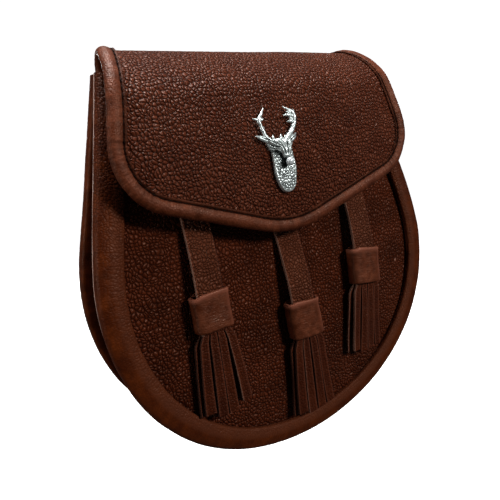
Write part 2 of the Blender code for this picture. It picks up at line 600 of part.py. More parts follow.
def build_badge(surface, metal):
    """A cast stag's head: neck, forward-reaching head, nose, antlers, tines and ears as one solid."""
    pieces = []
    arc = [math.pi * k / 6 for k in range(7)]
    pieces.append(loft([[(row["across"] + row["half"] * math.cos(a), row["up"], row["out"] * math.sin(a) ** 0.8)
                         for a in arc] for row in NECK]))
    ring = [2 * math.pi * k / 8 for k in range(8)]
    pieces.append(loft([[(row["half"] * math.cos(a), row["up"] - 0.35 * row["out"] * math.sin(a),
                          max(0.2, row["lift"] + row["out"] * math.sin(a))) for a in ring] for row in HEAD]))
    nose = []
    for lift, radius in ((3.9, 0.7), (4.6, 1.5), (5.8, 1.75), (6.9, 1.3), (7.4, 0.5)):
        nose.append([(radius * math.cos(a), -5.4 + radius * math.sin(a), lift) for a in ring])
    pieces.append(loft(nose))
    for side, name in ((-1, "left"), (1, "right")):
        path = [(side * row[name], row["up"], ANTLER_LIFT + 1.2 * math.exp(-row["up"] / 5)) for row in ANTLER]
        pieces.append(tube(path, [row["half"] for row in ANTLER], 1.0))
    for row in TINES:
        (x0, v0), (x1, v1) = row["from"], row["to"]
        path = [(row["side"] * (x0 + (x1 - x0) * t), v0 + (v1 - v0) * t, ANTLER_LIFT + 0.15) for t in (0.0, 0.55, 1.0)]
        pieces.append(tube(path, [0.8 * row["half"], row["half"], 0.25], 0.8))

    level_along = surface.along_front(BADGE_LEVEL)
    placed = None
    for k, (vertices, faces) in enumerate(pieces):
        vertices = [surface.at(BADGE_X + x, level_along - up, FLAP / 2 + GAP + out) for x, up, out in vertices]
        shape = make_object("stag_head" if k == 0 else "stag_part_%d" % k, vertices, faces, metal)
        if placed is None:
            placed = shape
            continue
        union = placed.modifiers.new("with_part_%d" % k, "BOOLEAN")
        union.operation = "UNION"
        union.solver = "EXACT"
        union.object = shape
        shape.hide_render = True
        shape.display_type = "WIRE"


def build_back_fittings(leather):
    """Two belt loops on the back, each a strap sewn down at both ends."""
    levels = [LOOP_FOOT_LEVEL]
    levels += list(np.linspace(LOOP_RISE_LEVEL, LOOP_RISE_LEVEL + LOOP_RAMP, 4))
    levels += list(np.linspace(LOOP_FALL_LEVEL - LOOP_RAMP, LOOP_FALL_LEVEL, 4)) + [LOOP_HEAD_LEVEL]
    for name, side in (("left", -1), ("right", 1)):
        grids = ([], [])
        for level in levels:
            near = min(1.0, max(0.0, (level - LOOP_RISE_LEVEL) / LOOP_RAMP), max(0.0, (LOOP_FALL_LEVEL - level) / LOOP_RAMP))
            y = GAP + (LOOP_CLEAR - GAP) * near * near * (3 - 2 * near)
            for grid, face in zip(grids, (y, y + LOOP_WALL)):
                grid.append([(side * LOOP_X + x, face, level) for x in (-LOOP_WIDTH / 2, LOOP_WIDTH / 2)])
        make_object("belt_loop_" + name, *sheet(*grids), leather)


def build_stud(metal):
    """The stud behind the flap's point, with a cap on the panel and a cap on the flap."""
    panel = PANEL_RECESS - body_depth(STUD_LEVEL) - GAP
    under_flap = -(flap_depth(STUD_LEVEL) - FLAP) + GAP
    length = panel - under_flap
    rings = []
    for reach, radius in ((0.0, STUD_CAP_RADIUS), (STUD_CAP, STUD_CAP_RADIUS), (STUD_CAP, STUD_POST_RADIUS),
                          (length - STUD_CAP, STUD_POST_RADIUS), (length - STUD_CAP, STUD_CAP_RADIUS),
                          (length, STUD_CAP_RADIUS)):
        part = reach / length
        slope = body_slope(STUD_LEVEL) * (1 - part) + flap_slope(STUD_LEVEL) * part
        ring = []
        for k in range(14):
            across, up = radius * math.cos(2 * math.pi * k / 14), radius * math.sin(2 * math.pi * k / 14)
            ring.append((across, panel - reach - slope * up, STUD_LEVEL + up))
        rings.append(ring)
    make_object("snap_stud", *loft(rings), metal)


def make_material(name, colour, roughness, metallic=0.0):
    """A plain Principled material."""
    material = bpy.data.materials.new(name)
    material.use_nodes = True
    shader = material.node_tree.nodes["Principled BSDF"]
    shader.inputs["Base Color"].default_value = (*colour, 1.0)
    shader.inputs["Roughness"].default_value = roughness
    shader.inputs["Metallic"].default_value = metallic
    return material


def main():
    for old in list(bpy.data.objects):
        bpy.data.objects.remove(old)
    belt_line = bpy.data.objects.new("belt_line", None)
    bpy.context.scene.collection.objects.link(belt_line)
    belt_line.location = (0.0, 0.0, -BELT_LEVEL * MM)

    grained = make_material("grained_leather", (0.050, 0.020, 0.013), 0.55)
    smooth = make_material("smooth_leather", (0.085, 0.028, 0.015), 0.45)
    silver = make_material("antique_silver", (0.62, 0.62, 0.60), 0.3, 1.0)

    build_body(grained, smooth)
    surface = build_flap(grained, smooth)
    build_badge(surface, silver)
    build_tassels(grained, smooth)
    build_back_fittings(grained)
    build_stud(silver)


main()
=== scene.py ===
"""Looks of a day sporran: a leather belt pouch with a folded flap, three tassels and a stag's head.

Sizes are in millimetres. X runs across the pouch, Y from the front (negative) to the back, and
heights are measured up from the pouch's lowest point, whose place is read from the frame.
"""

import logging
from dataclasses import dataclass, field
from enum import Enum
from math import acos, atan, atan2, cos, pi, radians, sin, tan

import bpy
import numpy as np
from mathutils import Matrix, Vector


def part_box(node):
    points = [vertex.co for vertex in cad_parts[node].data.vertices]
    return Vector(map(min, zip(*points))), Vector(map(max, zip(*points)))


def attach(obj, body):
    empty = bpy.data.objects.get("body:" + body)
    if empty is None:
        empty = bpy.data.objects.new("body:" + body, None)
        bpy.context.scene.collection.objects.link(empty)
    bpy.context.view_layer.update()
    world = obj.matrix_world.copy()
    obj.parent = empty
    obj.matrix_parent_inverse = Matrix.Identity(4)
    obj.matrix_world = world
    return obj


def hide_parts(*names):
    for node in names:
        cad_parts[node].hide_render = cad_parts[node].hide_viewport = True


Array = np.ndarray
Material = bpy.types.Material
Socket = bpy.types.NodeSocket
Colour = tuple[float, float, float]
Range = tuple[float, float]

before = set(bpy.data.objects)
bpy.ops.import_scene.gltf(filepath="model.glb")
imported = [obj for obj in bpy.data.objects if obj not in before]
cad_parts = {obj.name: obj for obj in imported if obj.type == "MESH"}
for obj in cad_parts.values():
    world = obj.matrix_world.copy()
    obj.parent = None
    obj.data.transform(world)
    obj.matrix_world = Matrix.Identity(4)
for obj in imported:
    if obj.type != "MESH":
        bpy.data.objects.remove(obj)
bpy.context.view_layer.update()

MM = 0.001
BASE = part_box("front_binding")[0].z / MM    # the pouch's lowest point, in the frame's own height
GAP = 0.3       # clearance between pieces that touch
RECESS = 3.3    # how far the front panel's face lies behind the rim's face
ACROSS, AHEAD = np.array([1.0, 0.0, 0.0]), np.array([0.0, -1.0, 0.0])
log = logging.getLogger("sporran")


class Slot(Enum):
    """The record's material slots."""

    GRAINED = "grained_leather"
    SMOOTH = "smooth_leather"
    SILVER = "antique_silver"


# ---- patterns and curves


def pebbles(u: Array, v: Array, pitch: float, seed: int) -> Array:
    """Height of pebbled grain, from 0 in the creases between cells to 1 on their crowns.

    Each cell of a lattice with staggered rows holds one point, moved by a seeded amount. The
    height is the difference between a place's distances to its two nearest points, rounded off.

    Args:
        u: Distance across the leather.
        v: Distance along the leather.
        pitch: Mean distance between cells.
        seed: Seed of the points.

    Returns:
        An array of heights shaped like u.
    """
    size, squeeze, shoulder = 256, 1.12, 0.6
    shift = np.random.default_rng(seed).uniform(0.12, 0.88, (size, size, 2))
    p, q = u / pitch, v / pitch * squeeze
    row = np.floor(q).astype(int)
    nearest = np.full(p.shape, np.inf)
    second = nearest.copy()
    for j in (-1, 0, 1):
        stagger = ((row + j) % 2) * 0.5
        column = np.floor(p - stagger).astype(int)
        for i in (-1, 0, 1):
            point = shift[(column + i) % size, (row + j) % size]
            away = np.hypot(column + i + point[..., 0] + stagger - p, row + j + point[..., 1] - q)
            second = np.minimum(second, np.maximum(nearest, away))
            nearest = np.minimum(nearest, away)
    edge = np.clip((second - nearest) / shoulder, 0.0, 1.0)
    return edge * (2.0 - edge)


def waves(u: Array, v: Array, pitch: float, seed: int) -> Array:
    """Smooth noise from -1 to 1: seeded values on a square lattice, joined by a smooth step."""
    size = 128
    values = np.random.default_rng(seed).uniform(-1.0, 1.0, (size, size))
    p, q = u / pitch, v / pitch
    column, row = np.floor(p).astype(int), np.floor(q).astype(int)
    s, t = ramp(0.0, 1.0, p - column), ramp(0.0, 1.0, q - row)
    near, far = (values[column % size, line % size] * (1.0 - s) + values[(column + 1) % size, line % size] * s
                 for line in (row, row + 1))
    return near * (1.0 - t) + far * t


def ramp(low: float, high: float, x: Array) -> Array:
    """0 below low, 1 above high, and a cubic with level ends between them."""
    t = np.clip((np.asarray(x, float) - low) / (high - low), 0.0, 1.0)
    return t * t * (3.0 - 2.0 * t)


def bell(x: Array, middle: float, width: float) -> Array:
    """A bell curve that is 1 at its middle."""
    return np.exp(-((x - middle) / width) ** 2)


def full_turn(count: int) -> Array:
    """Angles once round a circle, in equal steps."""
    return np.linspace(0, 2 * pi, count, endpoint=False)


def stretches(*parts: tuple[float, float, int]) -> Array:
    """Rising values through stretches that meet, each with its start, end and count."""
    lines = [np.linspace(*part) for part in parts]
    return np.concatenate([line[:-1] for line in lines[:-1]] + lines[-1:])


def unit(vectors: Array) -> Array:
    """The vectors with a length of 1."""
    return vectors / np.maximum(np.linalg.norm(vectors, axis=-1, keepdims=True), 1e-6)


def run_of(points: Array) -> Array:
    """Distance along a polyline at each of its points."""
    return np.concatenate([[0.0], np.cumsum(np.linalg.norm(np.diff(points, axis=0), axis=1))])


def rows_at(marks: Array, run: Array, rows: Array) -> Array:
    """Rows given at marks along a path, such as its points or normals, read at other distances."""
    return np.stack([np.interp(marks, run, column) for column in rows.T], -1)


def even_points(points: Array, count: int) -> Array:
    """The polyline resampled to count points at equal distances along it."""
    run = run_of(points)
    return rows_at(np.linspace(0.0, run[-1], count), run, points)


def spline(points: Array, steps: int) -> Array:
    """A Catmull-Rom curve through the points, with that many steps from each to the next."""
    points = np.asarray(points, float)
    padded = np.vstack([2 * points[0] - points[1], points, 2 * points[-1] - points[-2]])
    t = np.linspace(0.0, 1.0, steps, endpoint=False)[None, :, None]
    a, b, c, d = (padded[k:len(padded) - 3 + k][:, None, :] for k in range(4))
    square, cube = 2 * a - 5 * b + 4 * c - d, 3 * b - a - 3 * c + d
    curve = 0.5 * (2 * b + (c - a) * t + square * t ** 2 + cube * t ** 3)
    return np.vstack([curve.reshape(-1, points.shape[1]), points[-1:]])


def side_of(points: Array) -> Array:
    """Unit normals on the right-hand side of a polyline in a plane."""
    along = unit(np.gradient(points, axis=0))
    return np.column_stack([along[:, 1], -along[:, 0]])


def out_of(loop: Array) -> Array:
    """Unit normals on the right-hand side of a closed section."""
    around = np.vstack([loop[-1:], loop, loop[:1]])
    along = unit(around[2:] - around[:-2])
    return np.column_stack([along[:, 1], -along[:, 0]])


def rounded_corner(before: Array, corner: Array, after: Array, radius: float, steps: int) -> Array:
    """The arc of that radius which rounds the corner of a path."""
    back, on = unit(before - corner), unit(after - corner)
    half = acos(back @ on) / 2
    centre = corner + unit(back + on) * radius / sin(half)
    start = corner + back * radius / tan(half) - centre
    end = corner + on * radius / tan(half) - centre
    first = atan2(start[1], start[0])
    sweep = (atan2(end[1], end[0]) - first + pi) % (2 * pi) - pi
    angles = first + sweep * np.linspace(0, 1, steps)
    return centre + radius * np.column_stack([np.cos(angles), np.sin(angles)])


# ---- shells and meshes


@dataclass
class Shell:
    """A closed surface before it becomes a mesh.

    Attributes:
        points: The corners, in millimetres from the pouch's lowest point.
        faces: Arrays of polygons, each with one number of corners.
        kinds: Each polygon's finish, as an index into the piece's finishes.
        marks: Named values at the corners, which the finishes read.
    """

    points: Array
    faces: list[Array]
    kinds: Array
    marks: dict[str, Array] = field(default_factory=dict)

    def volume(self) -> float:
        """Six times the enclosed volume: the sum of the triangles' triple products."""
        total = 0.0
        for faces in self.faces:
            corners = self.points[faces] - self.points.mean(0)
            for k in range(1, faces.shape[1] - 1):
                total += np.einsum("ij,ij->", corners[:, 0], np.cross(corners[:, k], corners[:, k + 1]))
        return total

    def outward(self) -> "Shell":
        """The same shell with its faces pointing out."""
        if self.volume() < 0:
            self.faces = [faces[:, ::-1] for faces in self.faces]
        return self


def joined(shells: list[Shell]) -> Shell:
    """Several shells as one, all with the same marks."""
    firsts = np.cumsum([0] + [len(shell.points) for shell in shells])
    marks = {name: np.concatenate([shell.marks[name] for shell in shells]) for name in shells[0].marks}
    faces = [part + first for shell, first in zip(shells, firsts) for part in shell.faces]
    return Shell(np.vstack([shell.points for shell in shells]), faces,
                 np.concatenate([shell.kinds for shell in shells]), marks)


def band_grid(line: Array, loop: Array) -> tuple[Array, Array]:
    """Distances along a band's path and round its section, stations x section points."""
    along, around = np.broadcast_arrays(run_of(line)[:, None], run_of(loop)[None, :])
    return along, around


def grid_quads(rows: int, columns: int, wrap_columns: bool = False, wrap_rows: bool = False) -> Array:
    """Corner numbers of a grid's quads; a wrapped side joins its last line to its first."""
    r = np.arange(rows if wrap_rows else rows - 1)[:, None]
    c = np.arange(columns if wrap_columns else columns - 1)[None, :]
    down, on = (r + 1) % rows * columns, (c + 1) % columns
    r = r * columns
    return np.stack([r + c, r + on, down + on, down + c], -1).reshape(-1, 4)


def ring_shell(rings: Array, kinds: Array | None = None, closed: bool = False,
               marks: dict | None = None, end_kind: int = 0) -> Shell:
    """A section carried along a path: one ring of points for each station.

    Args:
        rings: Points, shaped stations x section points x 3.
        kinds: Finish of each of the section's edges, or None for finish 0.
        closed: Whether the last station joins the first, and no ends are needed.
        marks: Named values, shaped stations x section points or one for all.
        end_kind: Finish of the two ends.

    Returns:
        The closed shell.
    """
    stations, size = rings.shape[:2]
    faces = [grid_quads(stations, size, True, closed)]
    kinds = np.zeros(size, int) if kinds is None else kinds
    every = np.tile(kinds, stations if closed else stations - 1)
    if not closed:
        last = size * (stations - 1)
        faces.append(np.array([np.arange(size)[::-1], np.arange(last, last + size)]))
        every = np.concatenate([every, [end_kind, end_kind]])
    flat = {name: np.broadcast_to(values, (stations, size)).ravel() for name, values in (marks or {}).items()}
    return Shell(rings.reshape(-1, 3), faces, every, flat).outward()


def sheet_shell(front: Array, rear: Array, step: int, kinds: tuple[int, int, int],
                marks: dict | None = None) -> Shell:
    """A leather sheet: a fine grid in front, a coarse one behind, and a rim between them.

    Args:
        front: The front face's points, rows x columns x 3.
        rear: The rear face's points on the same grid, of which every step-th is kept.
        step: How many front edges meet one rear edge in the rim.
        kinds: Finishes of the front, the rear and the rim.
        marks: Named values on the front's grid, or one for all.

    Returns:
        The closed shell.
    """
    rows, columns = front.shape[:2]
    behind = rear[::step, ::step]
    few_rows, few = behind.shape[:2]
    start = rows * columns
    fine = np.arange(start).reshape(rows, columns)
    coarse = start + np.arange(few_rows * few).reshape(few_rows, few)
    rim = []
    for many, some in ((fine[0], coarse[0]), (fine[:, -1], coarse[:, -1]),
                       (fine[-1, ::-1], coarse[-1, ::-1]), (fine[::-1, 0], coarse[::-1, 0])):
        first = np.arange(0, len(many) - 1, step)[:, None] + np.arange(step + 1)[None, :]
        rim.append(np.hstack([many[first], some[1:, None], some[:-1, None]])[:, ::-1])
    rim = np.vstack(rim)
    faces = [grid_quads(rows, columns), grid_quads(few_rows, few)[:, ::-1] + start, rim]
    every = np.repeat(kinds, [len(part) for part in faces])
    flat = {}
    for name, values in (marks or {}).items():
        values = np.broadcast_to(values, (rows, columns))
        flat[name] = np.concatenate([values.ravel(), values[::step, ::step].ravel()])
    return Shell(np.vstack([front.reshape(-1, 3), behind.reshape(-1, 3)]), faces, every, flat).outward()


def new_object(name: str, data: bpy.types.ID) -> bpy.types.Object:
    """Makes an object of a mesh, light or camera, and puts it in the scene."""
    thing = bpy.data.objects.new(name, data)
    bpy.context.scene.collection.objects.link(thing)
    return thing


def make_piece(name: str, shell: Shell, finishes: list[Material],
               replaces: tuple[str, ...] = (), crease: float = 50.0) -> None:
    """Makes a shell an object in the frame, dressed and riding on the part's one body.

    Args:
        name: The piece's name.
        shell: Its surface.
        finishes: Its materials, in the order of the shell's kinds.
        replaces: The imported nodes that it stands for.
        crease: Edges sharper than this angle in degrees stay sharp.
    """
    sizes = np.concatenate([np.full(len(part), part.shape[1]) for part in shell.faces])
    corners = np.concatenate([part.reshape(-1) for part in shell.faces])
    mesh = bpy.data.meshes.new(name)
    mesh.vertices.add(len(shell.points))
    mesh.vertices.foreach_set("co", ((shell.points + (0.0, 0.0, BASE)) * MM).astype(np.float32).ravel())
    mesh.loops.add(len(corners))
    mesh.loops.foreach_set("vertex_index", corners.astype(np.int32))
    mesh.polygons.add(len(sizes))
    mesh.polygons.foreach_set("loop_start", (np.cumsum(sizes) - sizes).astype(np.int32))
    mesh.polygons.foreach_set("material_index", shell.kinds.astype(np.int32))
    mesh.update(calc_edges=True)
    for key, values in shell.marks.items():
        mark = mesh.attributes.new(key, "FLOAT", "POINT")
        mark.data.foreach_set("value", values.astype(np.float32))
    mesh.shade_smooth()
    mesh.set_sharp_from_angle(angle=radians(crease))
    for finish in finishes:
        mesh.materials.append(finish)
    piece = new_object(name, mesh)
    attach(piece, "root")
    if replaces:
        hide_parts(*replaces)
    log.info("%s: %d corners, %d faces", name, len(shell.points), len(sizes))


# ---- finishes


class Tree:
    """A material's nodes, with short calls to add and join them."""

    def __init__(self, name: str) -> None:
        """Starts a material with its Principled shader."""
        self.material = bpy.data.materials.new(name)
        self.material.use_nodes = True
        self.nodes = self.material.node_tree.nodes
        self.shader = self.nodes["Principled BSDF"]

    def put(self, value: object, target: Socket) -> None:
        """Joins an output to an input, or sets the input to a number or colour."""
        if isinstance(value, Socket):
            self.material.node_tree.links.new(value, target)
        else:
            target.default_value = value

    def give(self, name: str, value: object) -> None:
        """Joins or sets one of the shader's inputs."""
        self.put(value, self.shader.inputs[name])

    def node(self, kind: str, inputs: dict, out: int | str = 0, **settings: object) -> Socket:
        """One output of a new node with its settings, after its inputs are joined or set."""
        node = self.nodes.new("ShaderNode" + kind)
        for name, value in settings.items():
            setattr(node, name, value)
        for key, value in inputs.items():
            self.put(value, node.inputs[key])
        return node.outputs[out]

    def mark(self, name: str) -> Socket:
        """A named value of the mesh."""
        return self.node("Attribute", {}, "Fac", attribute_name=name)

    def noise(self, pitch: float, detail: float = 2.0) -> Socket:
        """Noise with features about pitch millimetres across."""
        place = self.node("TexCoord", {}, "Object")
        return self.node("TexNoise", {"Vector": place, "Scale": 1.0 / (pitch * MM), "Detail": detail})

    def flat(self) -> Socket:
        """Place on the leather as it lay flat, in millimetres, from the mesh's marks u and v."""
        return self.node("CombineXYZ", {0: self.mark("u"), 1: self.mark("v")})

    def scaled_place(self, place: Socket, u: float, v: float) -> Socket:
        """A place with its two directions divided by lengths."""
        return self.node("Mapping", {"Vector": place, "Scale": (1.0 / u, 1.0 / v, 1.0)})

    def flat_noise(self, u: float, v: float, detail: float, out: int | str = 0) -> Socket:
        """Noise on the flat leather with features u long across it and v long along it."""
        place = self.scaled_place(self.flat(), u, v)
        return self.node("TexNoise", {"Vector": place, "Scale": 1.0, "Detail": detail}, out)

    def cells(self, pitch: float) -> tuple[Socket, Socket]:
        """Pebbles on the flat leather: distance to the nearest border, and to the nearest middle.

        The flat place is first moved about by soft noise, so that the pebbles differ in size, and
        then by finer noise, so that their borders are curved.
        """
        place = self.flat()
        for size, amount in ((4.0, 2.2), (1.1, 0.55)):
            shift = self.flat_noise(size * pitch, size * pitch, 1.0, "Color")
            moved = {0: shift, 1: (amount * pitch, amount * pitch, 0.0), 2: place}
            place = self.node("VectorMath", moved, operation="MULTIPLY_ADD")
        cell = {"Vector": self.scaled_place(place, pitch, pitch), "Scale": 1.0, "Randomness": 0.85}
        border = self.node("TexVoronoi", cell, feature="DISTANCE_TO_EDGE", voronoi_dimensions="2D")
        cell["Smoothness"] = 0.35
        return border, self.node("TexVoronoi", cell, feature="SMOOTH_F1", voronoi_dimensions="2D")

    def scaled(self, value: Socket, low: float, high: float, to_low: float = 0.0,
               to_high: float = 1.0) -> Socket:
        """A value's range from low to high, mapped to another range and held at its ends."""
        return self.node("MapRange", dict(enumerate((value, low, high, to_low, to_high))))

    def sum(self, a: Socket, b: object, way: str = "ADD") -> Socket:
        """Two numbers added, or joined by another of the Math node's ways."""
        return self.node("Math", {0: a, 1: b}, operation=way)

    def times(self, a: Socket, b: object) -> Socket:
        """The product of two numbers."""
        return self.sum(a, b, "MULTIPLY")

    def mix(self, share: Socket, a: object, b: object) -> Socket:
        """Colour a where share is 0 and colour b where it is 1."""
        a, b = ((*colour, 1.0) if isinstance(colour, tuple) else colour for colour in (a, b))
        return self.node("Mix", {"Factor": share, 6: a, 7: b}, 2, data_type="RGBA")

    def bump(self, height: Socket, depth: float) -> None:
        """Tilts the surface by a height from 0 to 1 that stands depth millimetres high."""
        self.give("Normal", self.node("Bump", {"Strength": 1.0, "Distance": depth * MM, "Height": height}))


@dataclass(frozen=True)
class LeatherFinish:
    """Dyed leather: pebbled grain, fine pores, mottled dye, edges paler from rubbing, painted shade in
    creases and painted highlights.

    Attributes:
        name: The material's name.
        light: Colour of the dye where it is thin.
        dark: Colour where it has gathered.
        crease: Colour painted into the grain's creases and marked hollows as shade.
        gloss: Lowest and highest roughness.
        pebble: Pitch of the pebbles.
        relief: Their height.
        wrinkle: Depth of fine wrinkles across a band.
        pore: Pitch of the fine grain on top.
        pore_depth: Its depth.
        mottle: Pitch of the dye's mottling.
        sheen: Level of its mirror light, where 0.5 is plain varnish.
        blotch: Share of darker dye in small stains.
        worn_and_lit: Colour of rubbing where the leather is marked, also laid on as painted highlight.
    """

    name: str
    light: Colour
    dark: Colour
    crease: Colour = (0.010, 0.002, 0.001)
    gloss: Range = (0.34, 0.50)
    pebble: float = 1.5
    relief: float = 0.2
    wrinkle: float = 0.0
    pore: float = 0.42
    pore_depth: float = 0.028
    mottle: float = 14.0
    sheen: float = 0.3
    blotch: float = 0.0
    worn_and_lit: Colour = (0.26, 0.070, 0.035)

    def material(self) -> Material:
        """The finish as a material.

        The mesh marks pebbled leather with grain, hollows for painted shade with crease, and rubbing and
        painted highlights with wear.
        """
        tree = Tree(self.name)
        grain = tree.mark("grain")
        border, middle = tree.cells(self.pebble)
        # Painted shade: dark borders between the pebbles, joined below with the mesh's crease marks.
        creases = tree.times(tree.scaled(border, 0.0, 0.20, 0.85, 0.0), grain)
        creases = tree.sum(creases, tree.mark("crease"), "MAXIMUM")
        tree.give("Base Color", self.colour(tree, creases))
        rough = tree.scaled(tree.noise(3.0, 3.0), 0.3, 0.7, *self.gloss)
        tree.give("Roughness", tree.sum(rough, tree.times(creases, 0.35)))
        tree.give("Specular IOR Level", self.sheen)
        tree.give("Specular IOR Level", tree.sum(tree.times(creases, -0.85 * self.sheen), self.sheen))
        tree.give("Specular Tint", (1.0, 0.62, 0.45, 1.0))
        tree.bump(self.height(tree, grain, border, middle), 1.0)
        return tree.material

    def colour(self, tree: Tree, creases: Socket) -> Socket:
        """Mottled dye with small stains, painted shade in the creases, and a paler colour for rubbing and
        painted highlight where the mesh marks wear.
        """
        mottle = tree.scaled(tree.noise(self.mottle, 4.0), 0.35, 0.68)
        colour = tree.mix(mottle, self.dark, self.light)
        if self.blotch:
            stains = tree.scaled(tree.noise(2.6, 3.0), 0.45, 0.62, 0.0, self.blotch)
            colour = tree.mix(stains, colour, tuple(0.5 * c for c in self.dark))
        # The crease colour paints shade into the creases and marked hollows.
        colour = tree.mix(creases, colour, self.crease)
        # The worn colour paints rubbing and highlights where the mesh marks wear.
        return tree.mix(tree.mark("wear_and_highlight"), colour, self.worn_and_lit)

    def height(self, tree: Tree, grain: Socket, border: Socket, middle: Socket) -> Socket:
        """The surface's height in millimetres: steep pebbles with domed tops, pores and wrinkles."""
        step = tree.sum(tree.scaled(border, 0.0, 0.30), 0.7, "POWER")
        dome = tree.sum(tree.scaled(middle, 0.0, 0.75), 1.6, "POWER")
        height = tree.sum(tree.times(step, 0.4), tree.times(dome, -0.9))
        height = tree.times(tree.times(height, self.relief), grain)
        height = tree.sum(height, tree.times(tree.noise(self.pore, 2.0), self.pore_depth))
        if self.wrinkle:
            fold = tree.scaled(tree.flat_noise(0.9, 5.0, 3.0), 0.3, 0.7)
            height = tree.sum(height, tree.times(fold, self.wrinkle))
        return height


@dataclass(frozen=True)
class FibreFinish:
    """Fibres, as a cut edge of leather shows them, or the strands of a waxed thread.

    Attributes:
        name: The material's name.
        light: Colour of the fibres.
        dark: Colour between them, or where dye has crept in.
        pitch: Pitch of the fibres.
        detail: How much finer fibres show among them.
        spread: The noise's range from dark to light.
        gloss: Lowest and highest roughness.
        shine: Level of its mirror light.
        depth: Depth between the fibres.
    """

    name: str
    light: Colour
    dark: Colour
    pitch: float = 0.5
    detail: float = 4.0
    spread: Range = (0.35, 0.7)
    gloss: Range = (0.65, 0.9)
    shine: float = 0.2
    depth: float = 0.12

    def material(self) -> Material:
        """The finish as a material."""
        tree = Tree(self.name)
        fibres = tree.noise(self.pitch, self.detail)
        tree.give("Base Color", tree.mix(tree.scaled(fibres, *self.spread), self.dark, self.light))
        tree.give("Roughness", tree.scaled(fibres, 0.3, 0.7, *self.gloss))
        tree.give("Specular IOR Level", self.shine)
        tree.bump(fibres, self.depth)
        return tree.material


@dataclass(frozen=True)
class CastSilverFinish:
    """Antique silver: bright from polishing on its high spots, blackened in its hollows.

    Attributes:
        name: The material's name.
        bright: Colour of the metal where polishing keeps it bright.
        tarnish: Colour of the blackened hollows, also laid on as painted shadow under the muzzle.
        gloss: Roughness of the high spots and of the hollows.
        metallic: How far it mirrors as metal does.
    """

    name: str
    bright: Colour
    tarnish: Colour
    gloss: Range = (0.30, 0.60)
    metallic: float = 0.7

    def material(self) -> Material:
        """The finish as a material. The mesh marks its tarnished hollows and painted shadow with crease."""
        tree = Tree(self.name)
        grime = tree.scaled(tree.noise(0.7, 4.0), 0.40, 0.72, -0.08, 0.38)
        hollow = tree.scaled(tree.sum(tree.mark("crease"), grime), 0.0, 1.0)
        tree.give("Base Color", tree.mix(hollow, self.bright, self.tarnish))
        tree.give("Roughness", tree.scaled(hollow, 0.0, 1.0, *self.gloss))
        tree.give("Metallic", self.metallic)
        tree.bump(tree.noise(0.4, 2.0), 0.05)
        return tree.material


class Finishes:
    """The sporran's finishes, each made once."""

    def __init__(self) -> None:
        """Makes every material."""
        self.flap = LeatherFinish(
            "grained_leather_flap", (0.146, 0.034, 0.0142), (0.095, 0.019, 0.0071), gloss=(0.32, 0.46),
            pebble=1.62, relief=0.98, sheen=0.36).material()
        self.strap = LeatherFinish(
            "grained_leather_strap", (0.150, 0.040, 0.017), (0.098, 0.023, 0.009), (0.034, 0.008, 0.003),
            (0.32, 0.47), pebble=1.45, relief=0.70, sheen=0.42).material()
        self.grained = LeatherFinish(
            "grained_leather_front", (0.100, 0.018, 0.005), (0.054, 0.009, 0.002), gloss=(0.34, 0.48),
            pebble=1.66, relief=0.60, sheen=0.28).material()
        self.fringe = LeatherFinish(
            "grained_leather_fringe", (0.076, 0.013, 0.003), (0.040, 0.006, 0.0015), (0.012, 0.003, 0.001),
            (0.40, 0.54), pebble=1.3, relief=0.32, sheen=0.20, blotch=0.2).material()
        waxed = {"pore": 0.6, "pore_depth": 0.07}
        self.smooth = LeatherFinish(
            "smooth_leather_binding", (0.122, 0.022, 0.003), (0.060, 0.009, 0.001), gloss=(0.34, 0.56),
            pebble=1.3, relief=0.24, wrinkle=0.06, mottle=7.0, sheen=0.18, blotch=0.35,
            worn_and_lit=(0.104, 0.028, 0.012), **waxed).material()
        self.flap_rim = LeatherFinish(
            "smooth_leather_flap_rim", (0.168, 0.040, 0.015), (0.074, 0.013, 0.003), gloss=(0.32, 0.54),
            pebble=1.2, relief=0.22, wrinkle=0.09, mottle=6.0, sheen=0.32, blotch=0.40,
            worn_and_lit=(0.26, 0.080, 0.045), **waxed).material()
        self.collar = LeatherFinish(
            "smooth_leather_collar", (0.160, 0.040, 0.016), (0.080, 0.015, 0.004), (0.012, 0.003, 0.001),
            (0.30, 0.52), pebble=1.1, relief=0.18, wrinkle=0.07, mottle=6.0, sheen=0.38, blotch=0.45,
            worn_and_lit=(0.30, 0.095, 0.055), **waxed).material()
        self.flesh = LeatherFinish(
            "flesh_side", (0.070, 0.026, 0.015), (0.045, 0.016, 0.009), (0.020, 0.008, 0.005),
            (0.75, 0.92), pore=0.7, pore_depth=0.10, sheen=0.15).material()
        self.raw = FibreFinish("cut_edge", (0.30, 0.16, 0.11), (0.13, 0.05, 0.03)).material()
        self.bare_edge = FibreFinish("bare_cut_edge", (0.66, 0.46, 0.39), (0.34, 0.19, 0.14)).material()
        self.dyed_edge = FibreFinish("dyed_cut_edge", (0.062, 0.019, 0.009),
                                     (0.020, 0.006, 0.0025)).material()
        self.thread = FibreFinish("waxed_thread", (0.016, 0.006, 0.003), (0.005, 0.002, 0.001), 0.25, 2.0,
                                  (0.0, 1.0), (0.5, 0.7), 0.05, 0.06).material()
        self.silver = CastSilverFinish("cast_silver", (0.82, 0.90, 0.87), (0.016, 0.020, 0.020)).material()
        # A near-white, mostly diffuse copy of the silver for the nose ball: a painted highlight.
        self.nose_highlight = CastSilverFinish(
            "nose_painted_highlight_silver", (0.94, 1.0, 1.0), (0.30, 0.33, 0.33), (0.18, 0.26), 0.30).material()

    def sheet(self, face: Material) -> list[Material]:
        """The finishes of a sheet's face, its flesh side and its raw edge."""
        return [face, self.flesh, self.raw]

    def strip(self, face: Material) -> list[Material]:
        """The same for a strip, with a dyed edge as well."""
        return [*self.sheet(face), self.dyed_edge]


# ---- the pouch's shape


